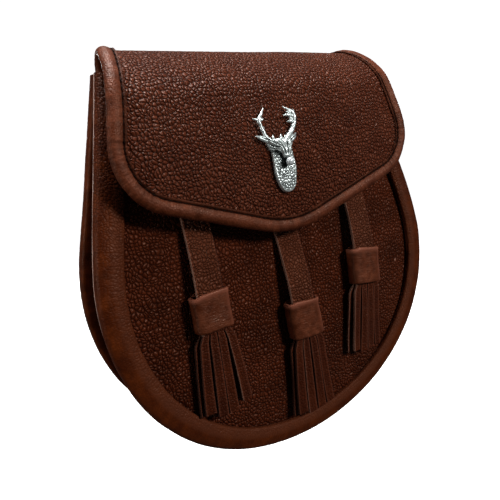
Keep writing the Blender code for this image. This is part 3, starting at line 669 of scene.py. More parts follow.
@dataclass(frozen=True)
class PouchForm:
    """The shape that the pouch's pieces share: its outline from the front, and its depth.

    Attributes:
        half_width: Half width at the widest level.
        widest: That level.
        taper: Lean of the sides above it.
        blend: Length over which the round base turns into them.
        top: Level of their upper ends.
        lean: How far the base hangs to the left.
        fullness: Exponent of the base's curve, where 2 is an ellipse.
        depths: Levels, and the depth at each.
        narrowings: Levels, and how much narrower each half of the back is at each.
    """

    half_width: float = 92.0
    widest: float = 91.0
    taper: float = 0.256
    blend: float = 18.0
    top: float = 185.2
    lean: float = 1.6
    fullness: float = 2.04
    depths: tuple[Range, ...] = ((0.0, 39.3), (96.0, 36.0), (185.0, 14.6))
    narrowings: tuple[Range, ...] = ((0.0, -0.8), (36.0, -0.8), (127.0, 2.2), (140.0, 2.2), (185.0, 1.2))

    def depth(self, level: Array) -> Array:
        """How far the front stands from the back: a parabola through three levels."""
        return np.polyval(np.polyfit(*np.transpose(self.depths), 2), level)

    def slope(self, level: float) -> float:
        """The depth's rate of change with height."""
        return float(np.polyval(np.polyder(np.polyfit(*np.transpose(self.depths), 2)), level))

    def outline(self, count: int) -> Array:
        """The outline from the top left round the base to the top right.

        It is a full ellipse below, which turns into leaning sides above.
        """
        turn = np.linspace(0, pi / 2, 600)
        power = 2 / self.fullness
        base = np.column_stack([self.half_width * np.sin(turn) ** power,
                                self.widest * (1 - np.cos(turn) ** power)])
        rise = np.linspace(0, self.top - self.widest, 400)[1:]
        inwards = self.taper * (np.sqrt(rise ** 2 + self.blend ** 2) - self.blend)
        right = np.vstack([base, np.column_stack([self.half_width - inwards, self.widest + rise])])
        line = np.vstack([(right * (-1, 1))[::-1], right[1:]])
        line[:, 0] -= self.lean * np.clip(1 - line[:, 1] / self.widest, 0, 1) ** 2
        return even_points(line, count)

    def narrowed(self, x: Array, level: Array, share: Array) -> Array:
        """Distances across after the back's narrowing: share is 1 at the front, 0 at the back."""
        narrowing = np.interp(level, *np.transpose(self.narrowings))
        return x * (1 - (1 - share) * narrowing / self.half_width)

    def band(self, section: Array, stations: int, left_extra: float = 0.0,
             raised: Array | None = None) -> Array:
        """A section carried along the outline.

        Args:
            section: Rows of inset from the outline, share of the depth, and offset behind the front.
            stations: How many rings.
            left_extra: Extra width on the left, for the section's inner half.
            raised: Heights above the section's surface, stations x section points, or None.

        Returns:
            Rings of points, stations x section points x 3.
        """
        line = self.outline(stations)
        normal = side_of(line)
        inset, share, offset = (np.tile(column, (stations, 1)) for column in section.T)
        if raised is not None:
            out = out_of(section[:, [0, 2]])
            inset, offset = inset + raised * out[None, :, 0], offset + raised * out[None, :, 1]
        past = np.clip(inset / section[:, 0].max() - 0.5, 0, None) * 2
        inset = inset - left_extra * normal[:, :1] * past
        x, z = line[:, :1] - inset * normal[:, :1], line[:, 1:] - inset * normal[:, 1:]
        return np.stack([self.narrowed(x, z, share), offset - share * self.depth(z), z], -1)


POUCH = PouchForm()


@dataclass
class FrontBinding:
    """The broad rounded band that binds the pouch's front edge.

    Attributes:
        width: Across its front face.
        side: How far it reaches round the side.
        inside: Depth of its underside behind its front face.
        seat: Inset of the panel that it holds.
        left_extra: Extra width on the left.
        lip_corner: The section's point at the back of its inner lip.
        stations: Sections along the outline.
    """

    width: float = 10.9
    side: float = 4.5
    inside: float = 3.0
    seat: float = 2.3
    left_extra: float = 1.0
    lip_corner: int = 41
    stations: int = 760

    def section(self) -> Array:
        """The band's section: a soft outer shoulder, a low crown, and a rounded inner lip."""
        face = spline([(0.0, self.side - 0.1), (0.0, 3.0), (0.45, 1.55), (1.6, 0.45), (3.4, -0.05),
                       (5.6, -0.2), (7.8, -0.05), (9.3, 0.35), (10.4, 0.75), (self.width, 1.5),
                       (self.width, self.inside - 0.1)], 4)
        under = np.array([(self.width - 0.1, self.inside), (6.0, self.inside), (self.seat, self.inside),
                          (self.seat, self.side), (0.1, self.side)])
        loop = np.vstack([face, under])
        return np.column_stack([loop[:, 0], np.ones(len(loop)), loop[:, 1]])

    def build(self, finishes: Finishes) -> None:
        """Makes the band: fine creases across it with painted shade, grained upper ends, and a painted
        highlight on its inner lip and inner half.
        """
        section = self.section()
        line = POUCH.outline(self.stations)
        run, across = band_grid(line, section[:, [0, 2]])
        inset, level = section[None, :, 0], line[:, 1:]
        wide = waves(run, across, 9.0, 3) * 0.10
        fine = -np.abs(waves(run, across * 0.3, 2.1, 4)) * 0.09
        fine = fine * ramp(0.0, 0.9, waves(run, across, 16.0, 5) + 0.1)
        front = ((section[:, 2] < self.inside - 0.05) | (section[:, 0] < 0.05))[None, :]
        rings = POUCH.band(section, self.stations, self.left_extra, (wide + fine) * front)
        upper, base = ramp(95.0, 165.0, level), ramp(90.0, 30.0, level)
        # Painted highlight: a pale line on the inner lip, the inner half paler as sheen, and paler towards
        # the base.
        lip = 0.35 * bell(across, across[:, self.lip_corner:self.lip_corner + 1], 0.8)
        rubbed_and_lit = lip + (0.40 + 0.15 * base) * ramp(5.4, 7.2, inset) + 0.12 * base
        grain = 0.28 + 0.6 * upper + 0.3 * ramp(6.5, 9.0, inset)
        # The crease mark paints shade into the fine creases.
        marks = {"grain": np.clip(grain, 0, 1) * front, "crease": np.clip(-3.0 * fine, 0, 0.3),
                 "wear_and_highlight": np.clip(rubbed_and_lit, 0, 0.8) * front, "u": run, "v": across}
        shell = ring_shell(rings, marks=marks)
        make_piece("pouch_rim", shell, [finishes.smooth], ("front_binding",))


@dataclass
class Gusset:
    """The strip between front and back, folded inwards, with its raw flange behind the rim.

    Attributes:
        front: How far the flange lies behind the pouch's front.
        wall: The strip's thickness.
        seam: Inset of the fold's edges from the outline.
        valley: How far the fold goes in at mid-depth.
        back_inset: Inset of the rear flange's edge.
        rear: Place of the rear flange's outer face.
        edge: Inset of the front flange's cut edge, and its bevel.
        cut_points: How many of the section's last edges are cut leather.
        stations: Sections along the outline.
    """

    front: float = 5.2
    wall: float = 1.4
    seam: float = 7.6
    valley: float = 3.0
    back_inset: float = 1.8
    rear: float = -2.3
    edge: Range = (GAP, 0.3)
    cut_points: int = 4
    stations: int = 520

    def build(self, finishes: Finishes) -> None:
        """Makes the strip: flange, inward fold and rear flange, with its cut edge bare."""
        part = np.linspace(0, 1, 15)
        bulge = np.sin(pi * part)
        fold = self.seam + self.valley * bulge
        reach = self.rear - self.front
        behind, (cut, bevel) = self.front + self.wall, self.edge
        inner = np.column_stack([fold + self.wall, 1 - part, self.front + reach * part])
        outer = np.column_stack([fold, 1 - part, behind + (reach - 2 * self.wall) * part])
        flange_in = [(cut + 0.25, 1, self.front), (self.seam / 2, 1, self.front)]
        flange_out = [(self.seam / 2, 1, behind), (cut + 0.25, 1, behind),
                      (cut, 1, behind - bevel), (cut, 1, self.front + bevel)]
        rear = [(self.back_inset, 0, self.rear), (self.back_inset, 0, self.rear - self.wall)]
        section = np.vstack([flange_in, inner, rear, outer[::-1], flange_out])
        kinds = np.zeros(len(section), int)
        kinds[-self.cut_points:] = 1
        rings = POUCH.band(section, self.stations)
        run, across = band_grid(POUCH.outline(self.stations), section[:, [0, 2]])
        sag = waves(run, 0 * run, 26.0, 9) * 0.35
        folded = np.concatenate([np.zeros(len(flange_in)), bulge, np.zeros(len(rear)), bulge[::-1],
                                 np.zeros(len(flange_out))])
        rings[..., 1] += sag * folded[None, :]
        marks = {"grain": 0.5, "u": run, "v": across}
        shell = ring_shell(rings, kinds, marks=marks)
        make_piece("side_gusset", shell, [finishes.smooth, finishes.bare_edge], ("gusset",))


@dataclass
class BackBinding:
    """The channel that binds the edge of the back.

    Attributes:
        rear_width: Across its rear face.
        front_width: Across its front face.
        wall: Its thickness.
        front_face: Place of its front face.
        flange: Place of the gusset's flange, which it holds.
        seam: Inset of the stitches from its rear edge.
        seam_out: How far out they lie.
        free: Points of the outline without stitches at each end.
        stations: Sections along the outline.
    """

    rear_width: float = 7.5
    front_width: float = 6.2
    wall: float = 1.5
    front_face: float = -5.6
    flange: float = -4.0
    seam: float = 1.5
    seam_out: float = GAP + 1.15
    free: int = 12
    stations: int = 620

    def build(self, finishes: Finishes) -> None:
        """Makes the channel with rounded shoulders and a stitch groove near its rear edge."""
        rear, front, held = self.rear_width, self.front_width, self.flange - GAP
        face = spline([(rear, GAP + 0.1), (rear, GAP + 1.1), (rear - 0.5, GAP + 1.45),
                       (rear - 1.5, GAP + 1.1), (rear - 2.4, GAP + 1.5), (3.6, GAP + 1.75), (1.9, 1.75),
                       (0.6, 1.0), (0.0, -0.4), (0.0, -2.2), (0.1, -4.0), (0.9, -5.2),
                       (2.6, self.front_face), (front - 0.5, self.front_face),
                       (front, self.front_face + 0.4), (front, held - 0.1)], 4)
        inner = np.array([(front - 0.1, held), (self.wall, held), (self.wall, GAP), (rear - 0.1, GAP)])
        loop = np.vstack([face, inner])
        section = np.column_stack([loop[:, 0], np.zeros(len(loop)), loop[:, 1]])
        run, across = band_grid(POUCH.outline(self.stations), loop)
        shown = np.arange(len(loop)) < len(face)
        fine = -np.abs(waves(run, across * 0.35, 1.6, 14)) * 0.09
        raised = (fine + 0.08 * waves(run, across, 9.0, 13)) * shown
        rings = POUCH.band(section, self.stations, 0.0, raised)
        # The crease mark paints shade into the fine creases.
        marks = {"grain": 0.2, "crease": np.clip(-fine * 3, 0, 0.4), "u": run, "v": across}
        shell = ring_shell(rings, marks=marks)
        make_piece("back_rim", shell, [finishes.smooth], ("back_binding",))
        self.build_stitches(finishes)

    def build_stitches(self, finishes: Finishes) -> None:
        """Makes the row of stitches along the rear edge's groove."""
        line = POUCH.outline(900)
        seat = line - (self.rear_width - self.seam) * side_of(line)
        x = POUCH.narrowed(seat[:, 0], seat[:, 1], 0.0)
        path = np.column_stack([x, np.full(len(x), self.seam_out), seat[:, 1]])[self.free:-self.free]
        stitches = stitch_row(path, -AHEAD)
        make_piece("back_rim_stitches", stitches, [finishes.thread])


@dataclass
class Panels:
    """The front and back panels.

    Attributes:
        wall: The front's thickness.
        inset: Its edge inside the outline.
        mouth_radius: Radius of the dip in its top edge.
        mouth_drop: Depth of that dip.
        back_wall: The back's thickness.
        back_inset: Its edge inside the outline.
        pitch: Pitch of the grain's coarse swellings.
        relief: Their height.
        hidden: The level below which the rim covers the front.
        seen: The level above which the flap covers it.
        columns: Edges across the front.
        step: How many of them meet one edge of its inner face.
        back_columns: Edges across the back.
    """

    wall: float = 1.6
    inset: float = 2.6
    mouth_radius: float = 150.0
    mouth_drop: float = 15.0
    back_wall: float = 2.0
    back_inset: float = 1.8
    pitch: float = 3.1
    relief: float = 0.12
    hidden: float = 9.0
    seen: float = 140.0
    columns: int = 300
    step: int = 4
    back_columns: int = 112

    def sides(self, inset: float, level: Array) -> tuple[Array, Array]:
        """The left and right edges at each level: the outline moved inwards."""
        line = POUCH.outline(1200)
        inner = line - inset * side_of(line)
        low = int(np.argmin(inner[:, 1]))
        left = np.interp(level, inner[low::-1, 1], inner[low::-1, 0])
        right = np.interp(level, inner[low:, 1], inner[low:, 0])
        return left, right

    def grid(self, inset: float, level: Array, columns: int) -> tuple[Array, Array]:
        """Places across and levels of a grid that fills the outline, a row for each level."""
        left, right = self.sides(inset, level)
        share = np.linspace(0, 1, columns + 1)[None, :]
        return left[:, None] * (1 - share) + right[:, None] * share, level[:, None] + 0 * share

    def build_front(self, finishes: Finishes) -> None:
        """Makes the front panel: pebbled in front, dipped at the mouth, held down by the rim."""
        low, top, seen = self.inset + 0.25, POUCH.top, self.seen
        level = stretches((low, self.hidden, 5), (self.hidden, seen, 237), (seen, top, 28))
        level = level[:(len(level) - 1) // self.step * self.step + 1]
        level[-1] = top
        x, z = self.grid(self.inset, level, self.columns)
        middle = top + self.mouth_radius - self.mouth_drop
        dip = middle - np.sqrt(np.clip(self.mouth_radius ** 2 - x ** 2, 0, None))
        above = np.clip((z - seen) / (top - seen), 0, 1)
        z = z + above * (np.minimum(dip, top) - top)
        grain = pebbles(x + waves(x, z, 6.0, 21), z + waves(x, z, 6.0, 22), self.pitch, 20)
        left, right = self.sides(self.inset, level)
        from_side = np.minimum(x - left[:, None], right[:, None] - x)
        from_edge = np.minimum(from_side, z - low)
        swell = 0.12 * waves(x, z, 30.0, 23)
        shown, tuck = ramp(8.0, 9.5, from_edge), 0.35 * ramp(13.0, 8.0, from_edge)
        height = self.relief * (grain - 0.75) * shown + swell * shown - tuck
        y = RECESS - POUCH.depth(z)
        front, rear = np.stack([x, y - height, z], -1), np.stack([x, y + self.wall, z], -1)
        shell = sheet_shell(front, rear, self.step, (0, 1, 2), {"grain": 1.0, "u": x, "v": z})
        make_piece("pouch_front", shell, finishes.sheet(finishes.grained), ("front_panel",), 80)

    def build_back(self, finishes: Finishes) -> None:
        """Makes the back panel, with softly waved grained leather."""
        level = stretches((self.back_inset + 0.2, 12.0, 13), (12.0, POUCH.top, 108))
        level = level[:(len(level) - 1) // 2 * 2 + 1]
        x, z = self.grid(self.back_inset, level, self.back_columns)
        x = POUCH.narrowed(x, z, 0.0)
        wave = 0.10 * waves(x, z, 24.0, 31)
        front = np.stack([x, wave - 0.1, z], -1)
        rear = np.stack([x, 0 * x - self.back_wall, z], -1)
        shell = sheet_shell(front, rear, 2, (0, 1, 2), {"grain": 1.0, "u": x, "v": z + 300.0})
        make_piece("pouch_back", shell, finishes.sheet(finishes.grained), ("back_panel",))


# ---- stitches


def stitch_row(path: Array, out: Array, length: float = 2.7, space: float = 0.8,
               radius: float = 0.26, slant: float = 0.10) -> Shell:
    """A row of stitches: short threads that rise from one hole and dive into the next.

    Args:
        path: Points along the seam, on the leather's surface.
        out: The surface's normal, one for all or one a point.
        length: Length of a stitch.
        space: Length of the leather that shows between two.
        radius: Radius of the thread.
        slant: How far a stitch turns from the seam, as a share of its length.

    Returns:
        All the stitches as one shell of separate closed threads.
    """
    run = run_of(path)
    count = int(run[-1] / (length + space))
    pitch = run[-1] / count
    part = np.array([-0.5, -0.42, -0.2, 0.2, 0.42, 0.5])
    marks = (np.arange(count)[:, None] + 0.5) * pitch + part[None, :] * (pitch - space)
    spot = rows_at(marks, run, path)
    normal = unit(rows_at(marks, run, np.broadcast_to(out, path.shape)))
    side = np.cross(normal, unit(rows_at(marks, run, np.gradient(path, axis=0))))
    arch = np.array([-0.45, -0.05, 0.2, 0.2, -0.05, -0.45]) * radius / 0.33
    thick = (radius * np.array([0.35, 0.85, 1.0, 1.0, 0.85, 0.35]))[None, :, None, None]
    spot = spot + normal * arch[None, :, None] + side * (part * slant * length)[None, :, None]
    turn = full_turn(6)[None, None, :, None]
    rings = spot[:, :, None] + (side[:, :, None] * np.cos(turn) + normal[:, :, None] * np.sin(turn)) * thick
    one = ring_shell(rings[0])
    firsts = (np.arange(count) * len(one.points))[:, None, None]
    faces = [(part_faces[None] + firsts).reshape(-1, part_faces.shape[1]) for part_faces in one.faces]
    return Shell(rings.reshape(-1, 3), faces, np.zeros(count * len(one.kinds), int))


# ---- the flap


@dataclass
class FlapForm:
    """The flap's middle surface, folded over the pouch's top.

    A place is given flat, before folding: across, and along the leather from its tail's lower
    edge. The fold is one cubic curve from the back panel over the crown to the front face.

    Attributes:
        leather: Its thickness.
        depths: Levels, and how far the front face lies from the back at each.
        corner_level: Level of the lower corners, before they are rounded.
        corner_half: Half width there.
        tip_level: Level of the point, before it is rounded.
        taper: How much each side widens with the distance down.
        corner_radius: Radius of the corners.
        tip_radius: Radius of the point.
        shoulder: Level where the fold meets the front face.
        rear_level: Level where it leaves the back.
        crown_level: Level of its highest line.
        fold_half: Half width over the fold.
        tilt: How far its right end drops and its left end rises.
        tilt_depth: Distance behind the front over which that sets in.
        tail_level: Level of the tail's lower edge, behind the back.
        tail_half: Half width of the tail.
        end_level: Level behind the fold where the binding ends.
        edge_inset: How far the leather's edge lies inside the bound edge.
    """

    leather: float = 1.8
    depths: tuple[Range, ...] = ((106.0, 41.8), (147.0, 38.7), (180.0, 30.3))
    corner_level: float = 133.7
    corner_half: float = 83.3
    tip_level: float = 106.0
    taper: float = 0.203
    corner_radius: float = 27.0
    tip_radius: float = 53.0
    shoulder: float = 172.0
    rear_level: float = 184.8
    crown_level: float = 190.3
    fold_half: float = 68.0
    tilt: float = 1.5
    tilt_depth: float = 6.0
    tail_level: float = 169.0
    tail_half: float = 62.5
    end_level: float = 185.5
    edge_inset: float = 2.5

    def __post_init__(self) -> None:
        """Works out the path that the leather follows, from its tail to below the point."""
        curve = np.polyfit(*np.transpose(self.depths), 2)
        self.front = lambda level: np.polyval(curve, level) - self.leather / 2
        lean = unit(np.array([-np.polyval(np.polyder(curve), self.shoulder), 1.0]))
        tail_y = GAP + self.leather / 2
        top = np.array([-self.front(self.shoulder), self.shoulder])
        rear = np.array([tail_y, self.rear_level])
        reach = (8 * self.crown_level - 4 * (self.shoulder + self.rear_level)) / (3 * (1 + lean[1]))
        t = np.linspace(0, 1, 500)[:, None]
        arch = ((1 - t) ** 3 * rear + 3 * t * (1 - t) ** 2 * (rear + (0, reach))
                + 3 * t ** 2 * (1 - t) * (top + reach * lean) + t ** 3 * top)
        drop = np.linspace(self.shoulder, self.tip_level - 6, 400)[1:]
        tail = np.column_stack([np.full(40, tail_y), np.linspace(self.tail_level, self.rear_level, 41)[:-1]])
        self.path = np.vstack([tail, arch, np.column_stack([-self.front(drop), drop])])
        self.run = run_of(self.path)
        along = unit(np.gradient(self.path, self.run, axis=0))
        self.normal = np.column_stack([along[:, 1], -along[:, 0]])

    def at(self, across: Array, along: Array, out: Array) -> Array:
        """Points in space of flat places, out from the leather's middle."""
        y, z = np.moveaxis(rows_at(along, self.run, self.path), -1, 0)
        ny, nz = np.moveaxis(rows_at(along, self.run, self.normal), -1, 0)
        rise = np.clip((z - self.shoulder) / (self.crown_level - self.shoulder), 0, None)
        ahead = np.clip((GAP + self.leather / 2 - y) / self.tilt_depth, 0, 1)
        tilt = self.tilt * across / self.corner_half * rise * rise * ahead
        return np.stack([across + 0 * y, y + out * ny, z + out * nz - tilt], -1)

    def along_front(self, level: float) -> float:
        """Distance along the leather to that height in front of its highest line."""
        crown = int(np.argmax(self.path[:, 1]))
        return float(np.interp(-level, -self.path[crown:, 1], self.run[crown:]))

    def along_rear(self, level: float) -> float:
        """Distance along the leather to that height behind its highest line."""
        crown = int(np.argmax(self.path[:, 1])) + 1
        return float(np.interp(level, self.path[:crown, 1], self.run[:crown]))

    def half_width(self, along: Array) -> Array:
        """Half width of the flap's straight sides: narrow over the fold, then widening evenly."""
        wide = self.corner_half - self.taper * (self.along_front(self.corner_level) - along) - self.fold_half
        return self.fold_half + 0.5 * (wide + np.sqrt(wide ** 2 + 2.0))

    def lower_edge(self) -> tuple[Array, Array]:
        """The left corner's arc and the point's arc."""
        corner = np.array([-self.corner_half, self.along_front(self.corner_level)])
        tip = np.array([0.0, self.along_front(self.tip_level)])
        crown = corner + 60.0 * np.array([self.taper, -1.0])
        side = rounded_corner(crown, corner, tip, self.corner_radius, 60)
        point = rounded_corner(corner, tip, corner * (-1, 1), self.tip_radius, 61)
        return side, point

    def edge_line(self, count: int) -> Array:
        """The bound edge, flat: down the left, round the corners and the point, and up the right."""
        side, point = self.lower_edge()
        upright = np.linspace(self.along_rear(self.end_level), side[0, 1], 200)[:-1]
        half_point = point[:len(point) // 2 + 1]
        left = np.vstack([np.column_stack([-self.half_width(upright), upright]), side, half_point])
        return even_points(np.vstack([left, (left * (-1, 1))[::-1][1:]]), count)


FLAP = FlapForm()


@dataclass
class Flap:
    """The flap's leather, its binding and its stitches.

    Attributes:
        pitch: Pitch of the grain's coarse swellings.
        relief: Their height.
        warp: How far soft noise moves them about.
        band: Width of the binding.
        groove: Inset of its stitched groove from the flap's edge.
        held: How many of its last points lie on the leather.
        free: Points of the edge without stitches at each end.
        columns: Edges across the leather.
        step: How many of them meet one edge of its inner face.
        stations: Sections of the binding.
    """

    pitch: float = 3.4
    relief: float = 0.13
    warp: float = 0.7
    band: float = 7.4
    groove: float = 6.1
    held: int = 4
    free: int = 6
    columns: int = 332
    step: int = 4
    stations: int = 820

    def rows(self) -> Array:
        """The leather's grid, flat: rows across the tail, the fold and the front, down to its edge."""
        side, point = FLAP.lower_edge()
        lower = even_points(np.vstack([side, point, (side * (-1, 1))[::-1]]), self.columns + 1)
        lower += FLAP.edge_inset * side_of(lower)
        share = np.linspace(-1, 1, self.columns + 1)
        start, shoulder = FLAP.along_rear(FLAP.end_level), FLAP.along_front(FLAP.shoulder)
        tail, fold = np.linspace(0.0, start - 0.1, 21), np.linspace(start, shoulder, 81)
        halves = np.concatenate([np.full(len(tail), FLAP.tail_half), FLAP.half_width(fold) - FLAP.edge_inset])
        rows = [np.column_stack([half * share, np.full(len(share), along)])
                for half, along in zip(halves, np.concatenate([tail, fold]))]
        top = rows[-1]
        return np.array(rows + [top + (lower - top) * part for part in np.linspace(0, 1, 124)[1:]])

    def build_leather(self, finishes: Finishes) -> None:
        """Makes the folded leather, pebbled, and flatter to the right and under the binding."""
        u, v = np.moveaxis(self.rows(), -1, 0)
        shift_u, shift_v = (self.warp * waves(u, v, 7.0, seed) for seed in (41, 42))
        grain = pebbles(u + shift_u, v + shift_v, self.pitch, 40)
        flatter = 1.0 - 0.15 * ramp(30.0, 75.0, u)
        swell = 0.16 * waves(u, v, 28.0, 43)
        fade = ramp(4.2, 5.6, self.edge_distance(u, v))
        height = (self.relief * flatter * (grain - 0.75) + swell) * fade
        front = FLAP.at(u, v, FLAP.leather / 2 + height)
        rear = FLAP.at(u, v, -FLAP.leather / 2)
        shell = sheet_shell(front, rear, self.step, (0, 1, 2), {"grain": flatter, "u": u, "v": v})
        make_piece("flap_leather", shell, finishes.sheet(finishes.flap), ("flap",), 80)

    @staticmethod
    def edge_distance(u: Array, v: Array) -> Array:
        """Distance of flat places from the flap's bound edge: the least to its sample points."""
        best = np.full(u.shape, np.inf)
        for x, along in FLAP.edge_line(260):
            best = np.minimum(best, (u - x) ** 2 + (v - along) ** 2)
        return np.sqrt(best)

    def section(self) -> Array:
        """The binding's section: inset from the edge, and height from the leather's middle."""
        inside = FLAP.leather / 2 + GAP
        g = self.groove
        outer = spline([(self.band, inside + 0.1), (self.band, inside + 0.45),
                        (self.band - 0.3, inside + 0.62), (g + 0.5, inside + 0.55), (g, inside + 0.2),
                        (g - 0.5, inside + 0.62), (4.6, 2.25), (3.5, 2.5), (2.2, 2.35), (1.0, 1.7),
                        (0.2, 0.8), (0.0, -0.2), (0.25, -1.2), (1.2, -2.0), (2.8, -2.35), (5.0, -2.35),
                        (self.band - 0.3, -2.15), (self.band, -1.9), (self.band, -inside - 0.1)], 3)
        lip = self.band - 0.1
        return np.vstack([outer, [(lip, -inside), (2.2, -inside), (2.2, inside), (lip, inside)]])

    def build_binding(self, finishes: Finishes) -> None:
        """Makes the binding, creased across where it turns the corners, and its stitches."""
        section = self.section()
        line = FLAP.edge_line(self.stations)
        inwards = side_of(line)
        run, across = band_grid(line, section)
        turn = np.linalg.norm(np.gradient(inwards, axis=0), axis=1) / np.gradient(run_of(line))
        bent = np.clip(turn * 20.0, 0.0, 1.0)[:, None]
        fine = -np.abs(waves(run, across * 0.3, 1.3, 52)) * (0.08 + 0.12 * bent)
        wide = waves(run, across, 8.0, 51) * 0.12 + waves(run, across, 3.0, 53) * 0.05
        shown = np.arange(len(section)) < len(section) - self.held
        raised, out = (fine + wide) * shown[None, :], out_of(section)
        inset, rise = (section[None, :, k] + raised * out[None, :, k] for k in (0, 1))
        u, v = (line[:, k:k + 1] + inset * inwards[:, k:k + 1] for k in (0, 1))
        from_edge, face = section[None, :, 0], section[None, :, 1] > 0
        # Painted shade: the stitch groove, the margin beyond it and the fine creases are marked dark as
        # crease.
        groove = np.maximum(bell(from_edge, self.groove, 0.45),
                            0.45 * ramp(self.groove, self.groove + 0.5, from_edge)) * face
        # Paler patches along the roll's crown, marked as wear: a painted highlight.
        patches = 0.6 + 0.4 * waves(run, across, 5.0, 54)
        marks = {"crease": np.clip(-fine * 3 + 0.95 * groove, 0, 1), "grain": 0.40,
                 "wear_and_highlight": 0.30 * bell(from_edge, 3.2, 1.4) * face * patches, "u": run, "v": across}
        shell = ring_shell(FLAP.at(u, v, rise), marks=marks)
        make_piece("flap_rim", shell, [finishes.flap_rim], ("flap_binding",))
        seat = (line + self.groove * inwards)[self.free:-self.free]
        inside = np.full(len(seat), FLAP.leather / 2 + GAP)
        low, high = (FLAP.at(seat[:, 0], seat[:, 1], inside + lift) for lift in (0.25, 1.25))
        make_piece("flap_stitches", stitch_row(low, high - low), [finishes.thread])


# ---- straps, tassels and loops


@dataclass(frozen=True)
class StripSection:
    """A flat strip's section: a rounded rectangle.

    Attributes:
        width: Across the strip.
        thick: Its thickness.
        corner: Radius of its edges.
        across: Points across each face.
    """

    width: float
    thick: float
    corner: float = 0.35
    across: int = 20

    def points(self) -> tuple[Array, Array]:
        """The section's points, and each edge's finish: 0 in front, 1 behind, 2 and 3 at its sides."""
        half, deep = self.width / 2, self.thick / 2
        r = min(self.corner, deep - 0.01)
        face = np.linspace(-half + r, half - r, self.across)
        turn = np.linspace(0, pi / 2, 4)[1:-1]
        arc = np.column_stack([np.sin(turn), np.cos(turn)]) * r
        right = np.vstack([arc + (half - r, deep - r), [(half, deep - r), (half, -deep + r)],
                           (arc * (1, -1))[::-1] + (half - r, -deep + r)])
        front = np.column_stack([face, np.full(self.across, deep)])
        half_loop = np.vstack([front, right])
        kinds = np.repeat([0, 3, 1, 2], [self.across - 1, len(right) + 1] * 2)
        return np.vstack([half_loop, -half_loop]), kinds


def strip_shell(path: Array, side: Array, out: Array, section: StripSection,
                width: Array | None = None, pebbled: float = 1.0, relief: float = 0.0, seed: int = 60,
                cup: float = 0.0) -> Shell:
    """A strip of leather carried along a path.

    Args:
        path: Middle of the strip at each station.
        side: Unit vectors across the strip, one for all or one a station.
        out: Unit vectors out of its front face, in the same way.
        section: Its section.
        width: Share of the section's width at each station, or None.
        pebbled: How strongly its grain is pebbled.
        relief: Height of its coarse swellings.
        seed: Seed of its grain.
        cup: How far its edges curl to the front.

    Returns:
        The closed strip.
    """
    loop, kinds = section.points()
    side, out = (np.broadcast_to(axis, path.shape) for axis in (side, out))
    share = np.ones(len(path)) if width is None else width
    a = loop[None, :, 0] * share[:, None]
    b = loop[None, :, 1] + cup * (2 * loop[None, :, 0] / section.width) ** 2 + 0 * a
    along = run_of(path)[:, None] + 0 * a
    grain = pebbles(a + 0.8 * waves(a, along, 5.0, seed + 1), along, 2.8, seed)
    from_edge = section.width / 2 * share[:, None] - np.abs(a)
    face = (loop[:, 1] > section.thick / 2 - 0.01)[None, :] * ramp(0, 1.0, from_edge + 0.3)
    b = b + relief * (grain - 0.75) * face
    rings = path[:, None] + a[..., None] * side[:, None] + b[..., None] * out[:, None]
    rubbed_and_lit = 0.35 * ramp(1.1, 0.2, from_edge) * (loop[None, :, 1] > 0)
    marks = {"wear_and_highlight": rubbed_and_lit, "grain": pebbled, "u": a, "v": along + 37.0 * seed}
    return ring_shell(rings, kinds, marks=marks, end_kind=2)


@dataclass(frozen=True)
class TasselPlace:
    """Where a tassel hangs and how its fringe falls.

    Attributes:
        name: Its name.
        x: The collar's middle across the pouch.
        level: Its middle level.
        strap: The strap's upper end under the flap: its place across, and its level.
        lean: The tassel's turn in the panel's plane, in degrees.
        edges: The fringe's left and right edge at its tips, from the collar's middle.
        trims: How much shorter each strip is.
        length: The fringe's length below the collar.
        shifts: How far each front strip strays sideways at its tip.
        bare: The strips whose left edge is undyed.
        seed: Seed of its grain and of the strips' small turns.
        slant: Rise of the collar's top rim per millimetre across; the bottom takes half.
        sag: How far its top rim and its bottom rim hang down.
    """

    name: str
    x: float
    level: float
    strap: Range
    lean: float
    edges: Range
    trims: tuple[float, ...]
    length: float
    shifts: tuple[float, ...]
    bare: tuple[int, ...]
    seed: int
    slant: float
    sag: Range


TASSELS = (
    TasselPlace("left", -45.0, 80.9, (-43.6, 147.0), -2.0, (-11.8, 11.0), (3.0, 0.4, 0.0, 3.2), 41.5,
                (0.0, 0.0, 0.0, 1.8), (3,), 70, slant=0.04, sag=(0.7, 0.0)),
    TasselPlace("middle", 3.4, 65.2, (1.6, 124.0), -5.0, (-12.6, 10.2), (1.8, 0.0, 0.3, 1.0), 43.0,
                (0.0, 0.0, 0.0, 0.0), (1,), 80, slant=-0.12, sag=(0.4, 1.2)),
    TasselPlace("right", 45.2, 82.4, (46.6, 147.0), 1.5, (-11.5, 8.0), (1.3, 0.0, 0.4, 1.6), 38.6,
                (0.0, 0.0, 0.0, 0.0), (0,), 90, slant=-0.12, sag=(0.4, 1.3)),
)


